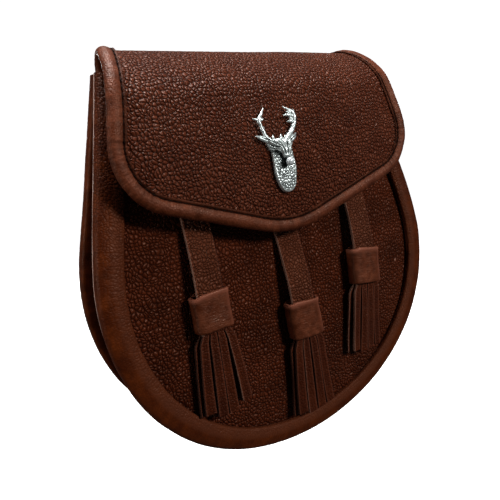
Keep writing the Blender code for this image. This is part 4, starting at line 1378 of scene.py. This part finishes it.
@dataclass
class Tassel:
    """A strap, a leather collar, and the fringe that the collar grips.

    Attributes:
        place: Where it hangs and how it falls.
        strap_width: Across the strap.
        strap_lift: How far it stands off the panel at the collar.
        strap_seat: Length of its upper end that lies on the panel.
        strap: Its thickness.
        enters: How far it reaches into the collar.
        width: Across the collar.
        depth: Front to back over the collar.
        height: The collar's height.
        wall: Its wall.
        rim: Radius of its rims.
        strips: Strips in each layer of the fringe.
        head: Half width of the block that the collar grips.
        head_depth: The block's depth.
        grip: How far it reaches up into the collar.
        settle: How far the rear and front layers fall back at their tips.
    """

    place: TasselPlace
    strap_width: float = 12.9
    strap_lift: float = 5.1
    strap_seat: float = 8.0
    strap: float = 1.6
    enters: float = 5.5
    width: float = 18.4
    depth: float = 8.6
    height: float = 18.0
    wall: float = 1.6
    rim: float = 0.75
    strips: int = 4
    head: float = 7.0
    head_depth: float = 4.4
    grip: float = 7.0
    settle: Range = (3.3, 2.7)

    def turned(self, local: Array) -> Array:
        """Points of the tassel's space in the pouch's: leaning with the panel, turned in its plane."""
        tilt = atan(POUCH.slope(self.place.level))
        lean = radians(self.place.lean)
        x, y, z = np.moveaxis(local, -1, 0)
        y, z = y * cos(tilt) - z * sin(tilt), y * sin(tilt) + z * cos(tilt)
        x, z = x * cos(lean) + z * sin(lean), -x * sin(lean) + z * cos(lean)
        face = RECESS - float(POUCH.depth(self.place.level))
        return np.stack([x + self.place.x, y + face, z + self.place.level], -1)

    def spun(self, direction: Array) -> Array:
        """Directions of the tassel's space in the pouch's."""
        return self.turned(direction) - self.turned(np.zeros(3))

    def build(self, finishes: Finishes) -> None:
        """Makes the strap, the collar and the fringe."""
        self.build_strap(finishes)
        self.build_collar(finishes)
        self.build_fringe(finishes)

    def build_strap(self, finishes: Finishes) -> None:
        """The strap's upper end lies on the panel; below, it leans out to enter the collar's front."""
        place, (x, top) = self.place, self.place.strap
        end = self.turned(np.array([0.0, 0.0, self.height / 2 - self.enters]))
        collar_top = self.turned(np.array([0.0, 0.0, self.height / 2]))[2]
        z = np.linspace(top, end[2], 130)
        down = (top - z) / (top - end[2])
        seat = top - self.strap_seat
        lift = GAP + (self.strap_lift - GAP) * ramp(0.0, seat - collar_top, seat - z)
        y = RECESS - POUCH.depth(z) - lift - self.strap / 2
        path = np.column_stack([x + (end[0] - x) * down, y, z])
        section = StripSection(self.strap_width, self.strap, 0.3, 26)
        shell = strip_shell(path, ACROSS, AHEAD, section, relief=0.10, seed=place.seed)
        make_piece("strap_" + place.name, shell, finishes.strip(finishes.strap),
                   ("tassel_strap_" + place.name,), 80)

    def collar_wall(self) -> tuple[Array, Array, Array, Array]:
        """The outer and inner ovals, and round the wall the share of the way in and the level."""
        turn = pi / 2 + full_turn(132)
        outer, inner = (np.column_stack([self.oval(turn, self.width / 2 - inset, power),
                                         self.oval(turn - pi / 2, self.depth / 2 - inset, power)])
                        for inset, power in ((0.0, 3.6), (self.wall, 5.5)))
        straight = self.height / 2 - self.rim
        up = np.linspace(-straight, straight, 22)
        arc = np.linspace(0, pi, 7)[1:-1]
        bow = straight + self.rim * np.sin(arc)
        part = np.concatenate([0 * up, (1 - np.cos(arc)) / 2, 1 + 0 * up, (1 + np.cos(arc)) / 2])
        return outer, inner, part, np.concatenate([up, bow, up[::-1], -bow])

    def build_collar(self, finishes: Finishes) -> None:
        """A flattened, dented leather tube, with rounded rims that flare and hang unevenly, and painted
        highlight and shade.
        """
        outer, inner, part, level = self.collar_wall()
        half, seed, place = self.height / 2, self.place.seed, self.place
        spot = outer[:, None] * (1 - part)[None, :, None] + inner[:, None] * part[None, :, None]
        around, high = np.broadcast_arrays(run_of(outer)[:, None], level[None, :])
        rise, outside, share = high / half, (part < 0.5)[None, :], spot[..., 0] / (self.width / 2)
        leftmost = ramp(-0.45, -0.95, share)
        ahead = ramp(0.0, -0.25 * self.depth, spot[..., 1])
        dent = (0.24 * waves(around, high, 6.0, seed + 5)
                + 0.08 * waves(around, high, 2.4, seed + 8)
                - 0.06 * np.abs(waves(around, high * 0.4, 1.6, seed + 6)))
        flare = 0.36 * ramp(half - 2.6, half - 0.6, high) * (1 - 0.8 * leftmost)
        spot = spot + unit(spot) * ((dent + flare) * outside - 0.14)[..., None]
        wave = 0.35 * waves(around, 0 * around, 9.0, seed + 7) * np.abs(rise) ** 3
        wave = wave - 1.1 * leftmost * np.clip(rise, 0, 1) ** 3
        wave = wave + place.slant * spot[..., 0] * (0.75 + 0.25 * rise)
        wave = wave - place.sag[0] * (1 + rise) / 2 - place.sag[1] * (1 - rise) / 2
        local = np.stack([spot[..., 0], -(GAP + self.depth / 2) + spot[..., 1], high + wave], -1)
        # Painted highlight along the top lip, strongest at the left end.
        lip = bell(half - high, 0.8, 1.2) * (0.62 + 0.38 * ramp(0.3, -0.7, share))
        # Painted shade in a band under the lip, on the left of the front face, and inside the tube.
        below = 0.25 * bell(half - high, 3.1, 0.7) * outside
        shade = 0.30 * ramp(-0.25, -0.9, share) * ahead * (1 - lip)
        # The lip and a strip near the right edge are painted paler, as highlight.
        rubbed_and_lit = np.clip(0.95 * lip + 0.30 * bell(share, 0.86, 0.14) * ahead, 0, 1)
        marks = {"wear_and_highlight": rubbed_and_lit, "grain": 0.25, "u": high + 90.0 * seed, "v": around,
                 "crease": 0.25 * (part > 0.9)[None, :] + below + shade}
        shell = ring_shell(self.turned(local), closed=True, marks=marks)
        make_piece("collar_" + place.name, shell, [finishes.collar],
                   ("tassel_collar_" + place.name,), 80)

    @staticmethod
    def oval(turn: Array, half: float, power: float) -> Array:
        """One coordinate of a superellipse: the cosine's sign with its size to the power 2 / power."""
        c = np.cos(turn)
        return half * np.sign(c) * np.abs(c) ** (2 / power)

    def fringe_strip(self, layer: int, k: int, rng: np.random.Generator) -> Shell:
        """One cut strip, which flares below the collar; layer 0 lies behind layer 1."""
        place, part = self.place, np.linspace(0, 1, 44)
        down, flare = 0.25 * ramp(0.0, 1.0, part) + 0.75 * part, ramp(0.0, 0.16, part)
        spread = (self.head + 1.6 * flare) * (1 - down)
        left = -spread + place.edges[0] * down - 1.8 * (1 - layer) * flare
        right = spread + place.edges[1] * down
        middle = (k + 0.5) / self.strips * 2 - 1
        x = (left + right) / 2 + (right - left) / 2 * middle + place.shifts[k] * down * layer
        x = x + rng.uniform(-0.35, 0.35) * np.sin(pi * part) * (1 if layer else 2)
        y = -(GAP + self.depth / 2) + self.head_depth * (0.25 - 0.5 * layer) + self.settle[layer] * down
        y = y + rng.uniform(-0.25, 0.25) * np.sin(3 * part)
        z = -self.height / 2 - (place.length - place.trims[k] - 0.7 * layer) * part
        half = (right - left) / 2 / self.strips - rng.uniform(0.12, 0.30)
        twist = rng.uniform(-0.16, 0.16) * part
        side = np.column_stack([np.cos(twist), np.sin(twist), 0 * part])
        out = np.column_stack([np.sin(twist), -np.cos(twist), 0 * part])
        shell = strip_shell(self.turned(np.column_stack([x, y, z])), self.spun(side), self.spun(out),
                            StripSection(2 * half[-1], 1.45, 0.28, 10), half / half[-1],
                            0.65, 0.08, place.seed + 3 * k + layer, rng.uniform(-0.15, 0.35))
        if k not in place.bare:
            shell.kinds = np.where(shell.kinds == 2, 3, shell.kinds)
        return shell

    def build_fringe(self, finishes: Finishes) -> None:
        """Two layers of cut strips, on a block that the collar grips."""
        rng = np.random.default_rng(self.place.seed)
        shells = [self.fringe_strip(layer, k, rng) for layer in (0, 1) for k in range(self.strips)]
        root, stations = -self.height / 2, 8
        spot = np.zeros((stations, 3))
        spot[:, 1] = -(GAP + self.depth / 2)
        spot[:, 2] = np.linspace(root - 1.0, root + self.grip, stations)
        block = StripSection(2 * self.head, self.head_depth, 0.5, 12)
        shells.append(strip_shell(self.turned(spot), self.spun(ACROSS), self.spun(AHEAD), block))
        make_piece("fringe_" + self.place.name, joined(shells), finishes.strip(finishes.fringe),
                   ("tassel_fringe_" + self.place.name,), 80)


@dataclass
class BeltLoop:
    """A strap sewn to the back at both ends, which the belt passes through.

    Attributes:
        name: Its name.
        side: -1 on the left and 1 on the right.
        x: Its distance from the pouch's middle.
        width: Across the strap.
        wall: The strap's thickness.
        clear: How far it stands off the back.
        levels: Where its lower end lies, where it leaves and meets the back, and its upper end.
        bend: Height over which it bends out.
        margin: Inset of the stitches from its sides.
    """

    name: str
    side: float
    x: float = 36.0
    width: float = 24.0
    wall: float = 1.8
    clear: float = 6.0
    levels: tuple[float, ...] = (110.0, 118.0, 162.0, 168.0)
    bend: float = 5.0
    margin: float = 2.0

    def build(self, finishes: Finishes) -> None:
        """Makes the loop, and a box of stitches at each end."""
        foot, rise, fall, head = self.levels
        bent, straight = rise + self.bend, fall - self.bend
        z = stretches((foot, rise, 10), (rise, bent, 16), (bent, straight, 30), (straight, fall, 16),
                      (fall, head, 8))
        near = ramp(0, 1, np.minimum((z - rise) / self.bend, (fall - z) / self.bend))
        y = GAP + (self.clear - GAP) * near + self.wall / 2
        path = np.column_stack([np.full(len(z), self.side * self.x), y, z])
        section = StripSection(self.width, self.wall, 0.35, 44)
        shell = strip_shell(path, -ACROSS, -AHEAD, section, relief=0.10, seed=100)
        make_piece("loop_" + self.name, shell, finishes.strip(finishes.grained),
                   ("belt_loop_" + self.name,), 80)
        half, surface = self.width / 2 - self.margin, GAP + self.wall + 0.12
        rows = []
        for low, high in ((foot + 1.6, rise - 1.0), (fall + 1.0, head - 1.4)):
            box = [(-half, low), (half, low), (half, high), (-half, high)]
            for corners in zip(box, box[1:] + box[:1]):
                ends = np.array([(self.side * self.x + across, surface, level) for across, level in corners])
                rows.append(stitch_row(even_points(ends, 12), -AHEAD, 2.4, 0.7))
        make_piece("loop_stitches_" + self.name, joined(rows), [finishes.thread])


# ---- the stag's head


@dataclass
class StagHead:
    """The cast badge: a stag's neck, head, ears and antlers, fused into one relief.

    Its space runs across, up and out from the flap's face. Each limb is an oval section carried
    along a curve. A fine remesh fuses them, and fur and grooves are then pressed into the skin.

    Attributes:
        x: Its place across the pouch.
        level: Its level on the flap.
        voxel: Size of the remesh's cells.
        nose: Middle of the nose.
        nose_radius: Radius of the nose.
        centre: The face's middle line.
        grooves: Grooves in the brow and face, from one place to another, with a width. Each is
            mirrored about the middle line. The first ones are the brow's hairs.
    """

    x: float = -2.5
    level: float = 145.1
    voxel: float = 0.17
    nose: tuple[float, ...] = (0.8, -4.9, 5.9)
    nose_radius: float = 1.8
    centre: float = 0.35
    grooves: tuple[tuple[float, ...], ...] = (
        *((1.7 + 0.6 * k, 1.7 - 0.5 * k, 5.4 + 0.3 * k, 4.3 - 1.1 * k, 0.17) for k in range(4)),
        (2.0, -1.6, 4.1, 0.5, 0.30), (4.1, 0.5, 6.0, 0.3, 0.26), (0.6, -1.2, 1.9, 4.6, 0.34),
        (0.0, 1.6, 0.0, 5.0, 0.22), (2.2, 2.0, 5.6, 5.0, 0.30), (4.6, 4.6, 11.4, 7.6, 0.24),
        (1.4, -3.4, 2.2, -1.2, 0.2))

    def limb(self, rows: list[tuple[float, ...]], flat: float = 1.0) -> Shell:
        """A tapering oval bar through rows of across, up, out and half width."""
        curve = spline(np.array(rows, float), 8)
        path, half = curve[:, :3], np.maximum(curve[:, 3], 0.12)
        along = unit(np.gradient(path, axis=0))
        side = unit(np.column_stack([along[:, 1], -along[:, 0], 0 * along[:, 0]]))
        rise = np.cross(side, along)
        turn = full_turn(20)[None, :, None]
        oval = np.cos(turn) * side[:, None] + flat * np.sin(turn) * rise[:, None]
        return ring_shell(path[:, None] + half[:, None, None] * oval)

    def slab(self, rows: list[tuple[float, ...]], power: float = 0.8) -> Shell:
        """A lofted form through rows of up, across, half width, base height and height above it."""
        curve = spline(np.array(rows, float), 8)
        turn = full_turn(28)[None, :]
        c, s = np.cos(turn), np.sin(turn)
        up, across, half, base, high = (curve[:, k:k + 1] for k in range(5))
        out = base + high * np.sign(s) * np.abs(s) ** power
        return ring_shell(np.stack([across + half * c, up + 0 * c, np.maximum(out, 0.0)], -1))

    def ball(self, x: float, up: float, out: float, radius: float) -> Shell:
        """A round ball about a middle."""
        rise = np.linspace(-pi / 2, pi / 2, 14)[:, None]
        turn = full_turn(24)[None, :]
        wide = radius * np.maximum(np.cos(rise), 0.05)
        high = up + radius * np.sin(rise) + 0 * turn
        return ring_shell(np.stack([x + wide * np.cos(turn), high, out + wide * np.sin(turn)], -1))

    def leaf(self, rows: tuple[tuple[float, ...], ...], flat: float = 0.75) -> Shell:
        """A tine, ear or tuft through rows of across, up and half width, a little domed."""
        lift = np.sin(np.linspace(0.0, pi, len(rows)))
        return self.limb([(x, up, 1.5 + 0.3 * rise, half) for (x, up, half), rise in zip(rows, lift)], flat)

    def limbs(self) -> list[Shell]:
        """Neck, head, nose, brows, eyes, antlers, tines, ears and tufts, before they are fused."""
        neck = [(-18.1, 1.0, 1.2, 0.5, 0.9), (-17.1, 1.1, 2.9, 0.6, 1.6), (-14.8, 1.1, 4.3, 0.7, 2.1),
                (-11.5, 0.8, 5.2, 0.8, 2.3), (-8.0, 0.9, 5.7, 0.8, 2.4), (-4.5, 0.8, 5.6, 0.8, 2.4),
                (-1.0, 0.5, 5.4, 0.8, 2.3), (1.5, 0.3, 6.0, 0.8, 2.2), (3.8, 0.2, 6.9, 0.8, 1.9),
                (5.2, 0.1, 6.2, 0.7, 1.3), (6.0, 0.0, 3.4, 0.5, 0.8)]
        head = [(5.7, 0.1, 2.0, 1.5, 1.2), (3.8, 0.2, 4.2, 1.9, 2.2), (1.0, 0.4, 4.3, 2.5, 2.8),
                (-1.3, 0.6, 2.8, 3.2, 2.1), (-2.8, 0.8, 1.7, 3.9, 1.4), (-4.2, 0.8, 1.0, 4.6, 0.7)]
        parts = [self.slab(neck), self.slab(head, power=1.0), self.ball(*self.nose, self.nose_radius)]
        for side in (-1, 1):
            x = self.nose[0] * 0.4
            parts.append(self.limb([(x + side * 1.2, -1.5, 4.9, 0.35), (x + side * 1.8, 0.4, 5.0, 0.55),
                                    (x + side * 3.0, 3.0, 4.3, 0.85), (x + side * 4.2, 5.2, 2.6, 0.7)]))
            parts.append(self.ball(x + side * 3.1, 0.3, 4.0, 0.72))
        left_beam = [
            (-2.2, 2.6, 3.6, 1.0), (-5.4, 5.0, 2.3, 1.0), (-7.0, 7.2, 1.8, 0.9), (-7.8, 9.4, 1.6, 0.85),
            (-8.5, 12.0, 1.5, 0.85), (-8.9, 14.0, 1.5, 1.05), (-8.2, 15.6, 1.5, 0.9), (-7.2, 16.8, 1.5, 0.75),
            (-6.2, 18.2, 1.4, 0.55), (-5.2, 19.6, 1.3, 0.3)]
        right_beam = [
            (1.6, 3.2, 3.6, 1.1), (4.3, 6.0, 2.3, 1.2), (6.9, 8.3, 1.8, 1.15), (9.0, 11.0, 1.6, 1.05),
            (10.0, 13.5, 1.5, 1.0), (10.2, 15.6, 1.5, 1.05), (9.4, 17.2, 1.5, 0.85), (7.5, 18.3, 1.4, 0.6),
            (5.1, 19.7, 1.3, 0.3)]
        parts += [self.limb(left_beam, 1.05), self.limb(right_beam, 1.05)]
        leaves = (
            ((-8.6, 14.5, 0.75), (-10.2, 14.9, 0.62), (-11.8, 15.3, 0.3)),
            ((-8.4, 14.3, 0.8), (-7.2, 14.7, 0.7), (-6.2, 15.1, 0.3)),
            ((-8.0, 9.6, 0.7), (-7.4, 10.5, 0.6), (-6.9, 11.5, 0.25)),
            ((-5.4, 4.6, 0.9), (-8.0, 6.0, 1.15), (-10.2, 7.1, 0.95), (-12.4, 8.0, 0.2)),
            ((-3.4, 4.0, 1.0), (-3.3, 5.8, 0.8), (-3.0, 7.7, 0.15)),
            ((10.0, 16.4, 0.7), (10.5, 17.4, 0.45), (10.7, 18.2, 0.2)),
            ((9.8, 15.0, 0.8), (7.0, 15.6, 0.8), (4.5, 15.8, 0.3)),
            ((9.2, 16.8, 0.7), (7.6, 17.0, 0.6), (6.2, 17.4, 0.2)),
            ((9.6, 12.2, 0.8), (7.4, 12.8, 0.75), (5.5, 12.8, 0.25)),
            ((9.4, 13.4, 0.6), (8.0, 14.1, 0.5), (7.0, 14.2, 0.2)),
            ((3.4, 3.6, 1.0), (6.2, 4.9, 1.3), (8.2, 6.2, 1.0), (9.8, 7.8, 0.2)),
            ((0.7, 4.0, 1.0), (0.9, 6.0, 0.8), (1.3, 8.0, 0.15)),
            ((2.8, 4.4, 0.8), (3.0, 5.8, 0.6), (3.3, 7.1, 0.15)))
        return parts + [self.leaf(rows) for rows in leaves]

    def grooved(self, x: Array, up: Array) -> Array:
        """How deep each place lies in the grooves, from 0 outside them to 1 on their lines."""
        groove = np.zeros(len(x))
        for side in (-1, 1):
            for x0, up0, x1, up1, wide in self.grooves:
                d = np.array([side * (x1 - x0), up1 - up0])
                from_x, from_up = x - self.centre - side * x0, up - up0
                t = np.clip((from_x * d[0] + from_up * d[1]) / (d @ d), 0, 1)
                groove = np.maximum(groove, bell(np.hypot(from_x - t * d[0], from_up - t * d[1]), 0.0, wide))
        return groove

    def relief(self, points: Array) -> tuple[Array, Array]:
        """How far each place is pressed in or raised, and how dark it is: tarnish in its hollows, and painted
        shadow.

        The neck is stippled with tufts inside a smooth raised border, and the antlers are ringed.
        The nose is a smooth bright ball in a pressed, tarnished seat, with painted shadow below it and under
        the muzzle.
        """
        x, up, out = points.T
        neck = ramp(1.5, -1.0, up) * ramp(4.0, 3.4, out)
        antler = ramp(6.0, 8.0, up)
        tufts = pebbles(x + 0.5 * waves(x, up, 1.8, 111), up * 0.8, 1.15, 110)
        patches = waves(x, up, 1.5, 114)
        stippled = neck * (1 - ramp(2.15, 1.75, out) * neck)
        fur = 0.22 * bell(out, 1.8, 0.4) * neck - 0.34 * (1 - tufts * (0.8 + 0.2 * patches)) * stippled
        groove = self.grooved(x, up) * (1 - antler)
        rings = (0.5 + 0.5 * np.sin(up * 2.3 + 2.2 * waves(x, up, 2.0, 113) + x * 1.5)) * antler
        away = np.linalg.norm(points - self.nose, axis=1)
        off_ball = 1 - ramp(2.05, 1.85, away)
        depth = (fur - 0.45 * groove - 0.12 * rings - 0.35 * bell(away, 2.2, 0.3)) * off_ball
        speckle = np.clip(1.1 - 1.25 * tufts + 0.35 * patches, 0, 1) * stippled
        # Painted shadow below the nose ball, and a dark ring round it over the tarnished groove.
        below = ramp(3.1, 2.5, away) * ramp(-2.0, -2.8, up) * ramp(2.6, 3.4, out)
        seat = np.maximum(below, ramp(2.95, 2.5, away))
        low = 0.5 * ramp(0.9, 0.4, out) * (1 - antler)
        # Painted shadow that the muzzle casts on the neck below it.
        painted_muzzle_shadow = ramp(1.25, 0.75, np.hypot((x + 0.5) / 1.5, (up + 4.9) / 2.4))
        painted_muzzle_shadow = painted_muzzle_shadow * ramp(4.7, 4.0, out)
        dark = np.clip(speckle + groove + 0.3 * rings + low + 0.9 * seat, 0, 1) + 0.95 * painted_muzzle_shadow
        return depth, np.clip(dark * off_ball, 0, 1)

    def fused(self) -> tuple[Array, Array, Array]:
        """The limbs as one skin: its points, normals and four-cornered faces."""
        rough = joined(self.limbs())
        mesh = bpy.data.meshes.new("limbs")
        polygons = [tuple(face) for part in rough.faces for face in part.tolist()]
        mesh.from_pydata(rough.points.tolist(), [], polygons)
        body = new_object("limbs", mesh)
        fuse = body.modifiers.new("fuse", "REMESH")
        fuse.mode = "VOXEL"
        fuse.voxel_size = self.voxel
        even = body.modifiers.new("even", "SMOOTH")
        even.factor, even.iterations = 0.5, 2
        skin = body.evaluated_get(bpy.context.evaluated_depsgraph_get()).to_mesh()
        points, normals = np.zeros((2, len(skin.vertices) * 3))
        skin.vertices.foreach_get("co", points)
        skin.vertices.foreach_get("normal", normals)
        corners = np.zeros(len(skin.loops), int)
        skin.loops.foreach_get("vertex_index", corners)
        bpy.data.objects.remove(body)
        return points.reshape(-1, 3), normals.reshape(-1, 3), corners.reshape(-1, 4)

    def build(self, finishes: Finishes) -> None:
        """Presses the relief into the fused limbs and lays the badge on the flap."""
        points, normals, faces = self.fused()
        depth, dark = self.relief(points)
        points = points + normals * depth[:, None]
        points[:, 2] = np.maximum(points[:, 2], 0.02)
        along = FLAP.along_front(self.level) - points[:, 1]
        placed = FLAP.at(self.x + points[:, 0], along, FLAP.leather / 2 + GAP + points[:, 2])
        away = np.linalg.norm(points[faces].mean(axis=1) - self.nose, axis=1)
        # Faces of the nose ball take the near-white silver, a painted highlight.
        nose_highlight = (away < self.nose_radius + 0.15).astype(int)
        shell = Shell(placed, [faces], nose_highlight, {"crease": dark}).outward()
        make_piece("stag_badge", shell, [finishes.silver, finishes.nose_highlight], ("stag_head",), 80)


# ---- the studio


@dataclass(frozen=True)
class Lamp:
    """A soft square lamp: its name, degrees to the pouch's right and above it, distance, side and watts."""

    name: str
    azimuth: float
    elevation: float
    distance: float
    size: float
    power: float


@dataclass
class Studio:
    """The camera, the lamps, and the pale floor and backdrop.

    Attributes:
        azimuth: Degrees that the camera stands to the pouch's left.
        elevation: Degrees that it stands above it.
        roll: Degrees that it is turned about its view.
        lens: Its focal length.
        distance: Its distance from the target.
        target: The place that it looks at.
        floor_drop: How far the floor lies below the pouch.
        floor: The floor's rings: each one's radius, and its height above the middle.
        haze: Strength of the light from all round.
        reflected: Its strength where a surface mirrors it.
        lamps: All the lamps.
    """

    azimuth: float = 30.184
    elevation: float = 13.732
    roll: float = -5.356
    lens: float = 37.107
    distance: float = 261.57
    target: tuple[float, ...] = (-8.139, -14.4, 96.832)
    floor_drop: float = 150.0
    floor: tuple[Range, ...] = ((0.01, 0.0), (800.0, 0.0), (1500.0, 0.0), (1900.0, 60.0), (2150.0, 220.0),
                                (2300.0, 500.0), (2350.0, 900.0), (2350.0, 3000.0))
    haze: float = 0.02
    reflected: float = 0.07
    lamps: tuple[Lamp, ...] = (
        Lamp("key", 27.0, 26.0, 1100.0, 230.0, 7.8),
        Lamp("overhead", -150.0, 80.0, 600.0, 300.0, 4.6),
        Lamp("side", -88.0, 14.0, 700.0, 260.0, 1.7),
        Lamp("back", 176.0, 4.0, 1100.0, 320.0, 4.6),
        Lamp("right", 118.0, 12.0, 1000.0, 300.0, 3.0),
    )

    def direction(self, azimuth: float, elevation: float) -> Vector:
        """Unit vector from the pouch, with azimuth to its right of straight ahead."""
        a, e = radians(azimuth), radians(elevation)
        return Vector((sin(a) * cos(e), -cos(a) * cos(e), sin(e)))

    def spot(self) -> Vector:
        """The camera's target in the frame."""
        return Vector((self.target[0], self.target[1], self.target[2] + BASE)) * MM

    def build_camera(self) -> None:
        """Stands the camera at the photograph's angle, rolled as it was held."""
        camera = new_object("camera", bpy.data.cameras.new("camera"))
        camera.data.lens = self.lens
        camera.data.sensor_width = 36.0
        camera.data.clip_start, camera.data.clip_end = 0.01, 20.0
        back = self.direction(-self.azimuth, self.elevation)
        right = (-back).cross(Vector((0, 0, 1))).normalized()
        up = right.cross(-back)
        r = radians(self.roll)
        across = cos(r) * right + sin(r) * up
        rise = -sin(r) * right + cos(r) * up
        turn = Matrix((across, rise, back)).transposed().to_4x4()
        camera.matrix_world = Matrix.Translation(self.spot() + back * self.distance * MM) @ turn
        bpy.context.scene.camera = camera

    def build_lamps(self) -> None:
        """Hangs the lamps round the pouch, each facing it."""
        for lamp in self.lamps:
            light = bpy.data.lights.new(lamp.name, "AREA")
            light.shape = "SQUARE"
            light.size = lamp.size * MM
            light.energy = lamp.power
            piece = new_object(lamp.name, light)
            away = self.direction(lamp.azimuth, lamp.elevation)
            piece.location = self.spot() + away * lamp.distance * MM
            piece.rotation_mode = "QUATERNION"
            piece.rotation_quaternion = (-away).to_track_quat("-Z", "Y")

    def build_floor(self) -> None:
        """A pale round floor whose rim curves up into the backdrop, and whose glow hides all shade."""
        turn, (radius, level) = full_turn(64), np.transpose(self.floor)[..., None]
        level = level - self.floor_drop + 0 * turn
        points = np.stack([radius * np.cos(turn), radius * np.sin(turn), level + BASE], -1) * MM
        faces = grid_quads(len(radius), len(turn), True)
        mesh = bpy.data.meshes.new("floor")
        mesh.from_pydata(points.reshape(-1, 3).tolist(), [], faces.tolist())
        mesh.shade_smooth()
        tree = Tree("pale_floor")
        tree.give("Base Color", (0.9, 0.9, 0.9, 1.0))
        tree.give("Roughness", 0.9)
        tree.give("Emission Color", (1.0, 1.0, 1.0, 1.0))
        tree.give("Emission Strength", 1.0)
        mesh.materials.append(tree.material)
        floor = new_object("floor", mesh)
        floor.visible_diffuse = False
        floor.visible_glossy = False

    def build(self) -> None:
        """Makes the whole studio."""
        self.build_camera()
        self.build_lamps()
        self.build_floor()
        self.build_haze()
        bpy.context.scene.view_settings.view_transform = "Standard"

    def build_haze(self) -> None:
        """Soft light from all round, with another strength for what surfaces mirror."""
        world = bpy.data.worlds.new("studio")
        bpy.context.scene.world = world
        world.use_nodes = True
        nodes, links = world.node_tree.nodes, world.node_tree.links
        nodes["Background"].inputs["Color"].default_value = (1.0, 0.98, 0.97, 1.0)
        path, strength = nodes.new("ShaderNodeLightPath"), nodes.new("ShaderNodeMapRange")
        links.new(path.outputs["Is Glossy Ray"], strength.inputs[0])
        strength.inputs[3].default_value = self.haze
        strength.inputs[4].default_value = self.reflected
        links.new(strength.outputs[0], nodes["Background"].inputs["Strength"])


def dress_stud(finishes: Finishes) -> None:
    """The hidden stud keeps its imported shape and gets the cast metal's finish."""
    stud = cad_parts["snap_stud"]
    stud.data.materials.clear()
    stud.data.materials.append(finishes.silver)
    log.info("snap_stud: packed shape")


def main() -> None:
    """Builds the sporran's pieces in the order they are sewn, then the studio."""
    logging.basicConfig(level=logging.INFO, format="%(message)s")
    finishes = Finishes()
    panels = Panels()
    panels.build_back(finishes)
    Gusset().build(finishes)
    panels.build_front(finishes)
    FrontBinding().build(finishes)
    BackBinding().build(finishes)
    flap = Flap()
    flap.build_leather(finishes)
    flap.build_binding(finishes)
    for place in TASSELS:
        Tassel(place).build(finishes)
    for name, side in (("left", -1.0), ("right", 1.0)):
        BeltLoop(name, side).build(finishes)
    StagHead().build(finishes)
    dress_stud(finishes)
    Studio().build()


if __name__ == "__main__":
    main()
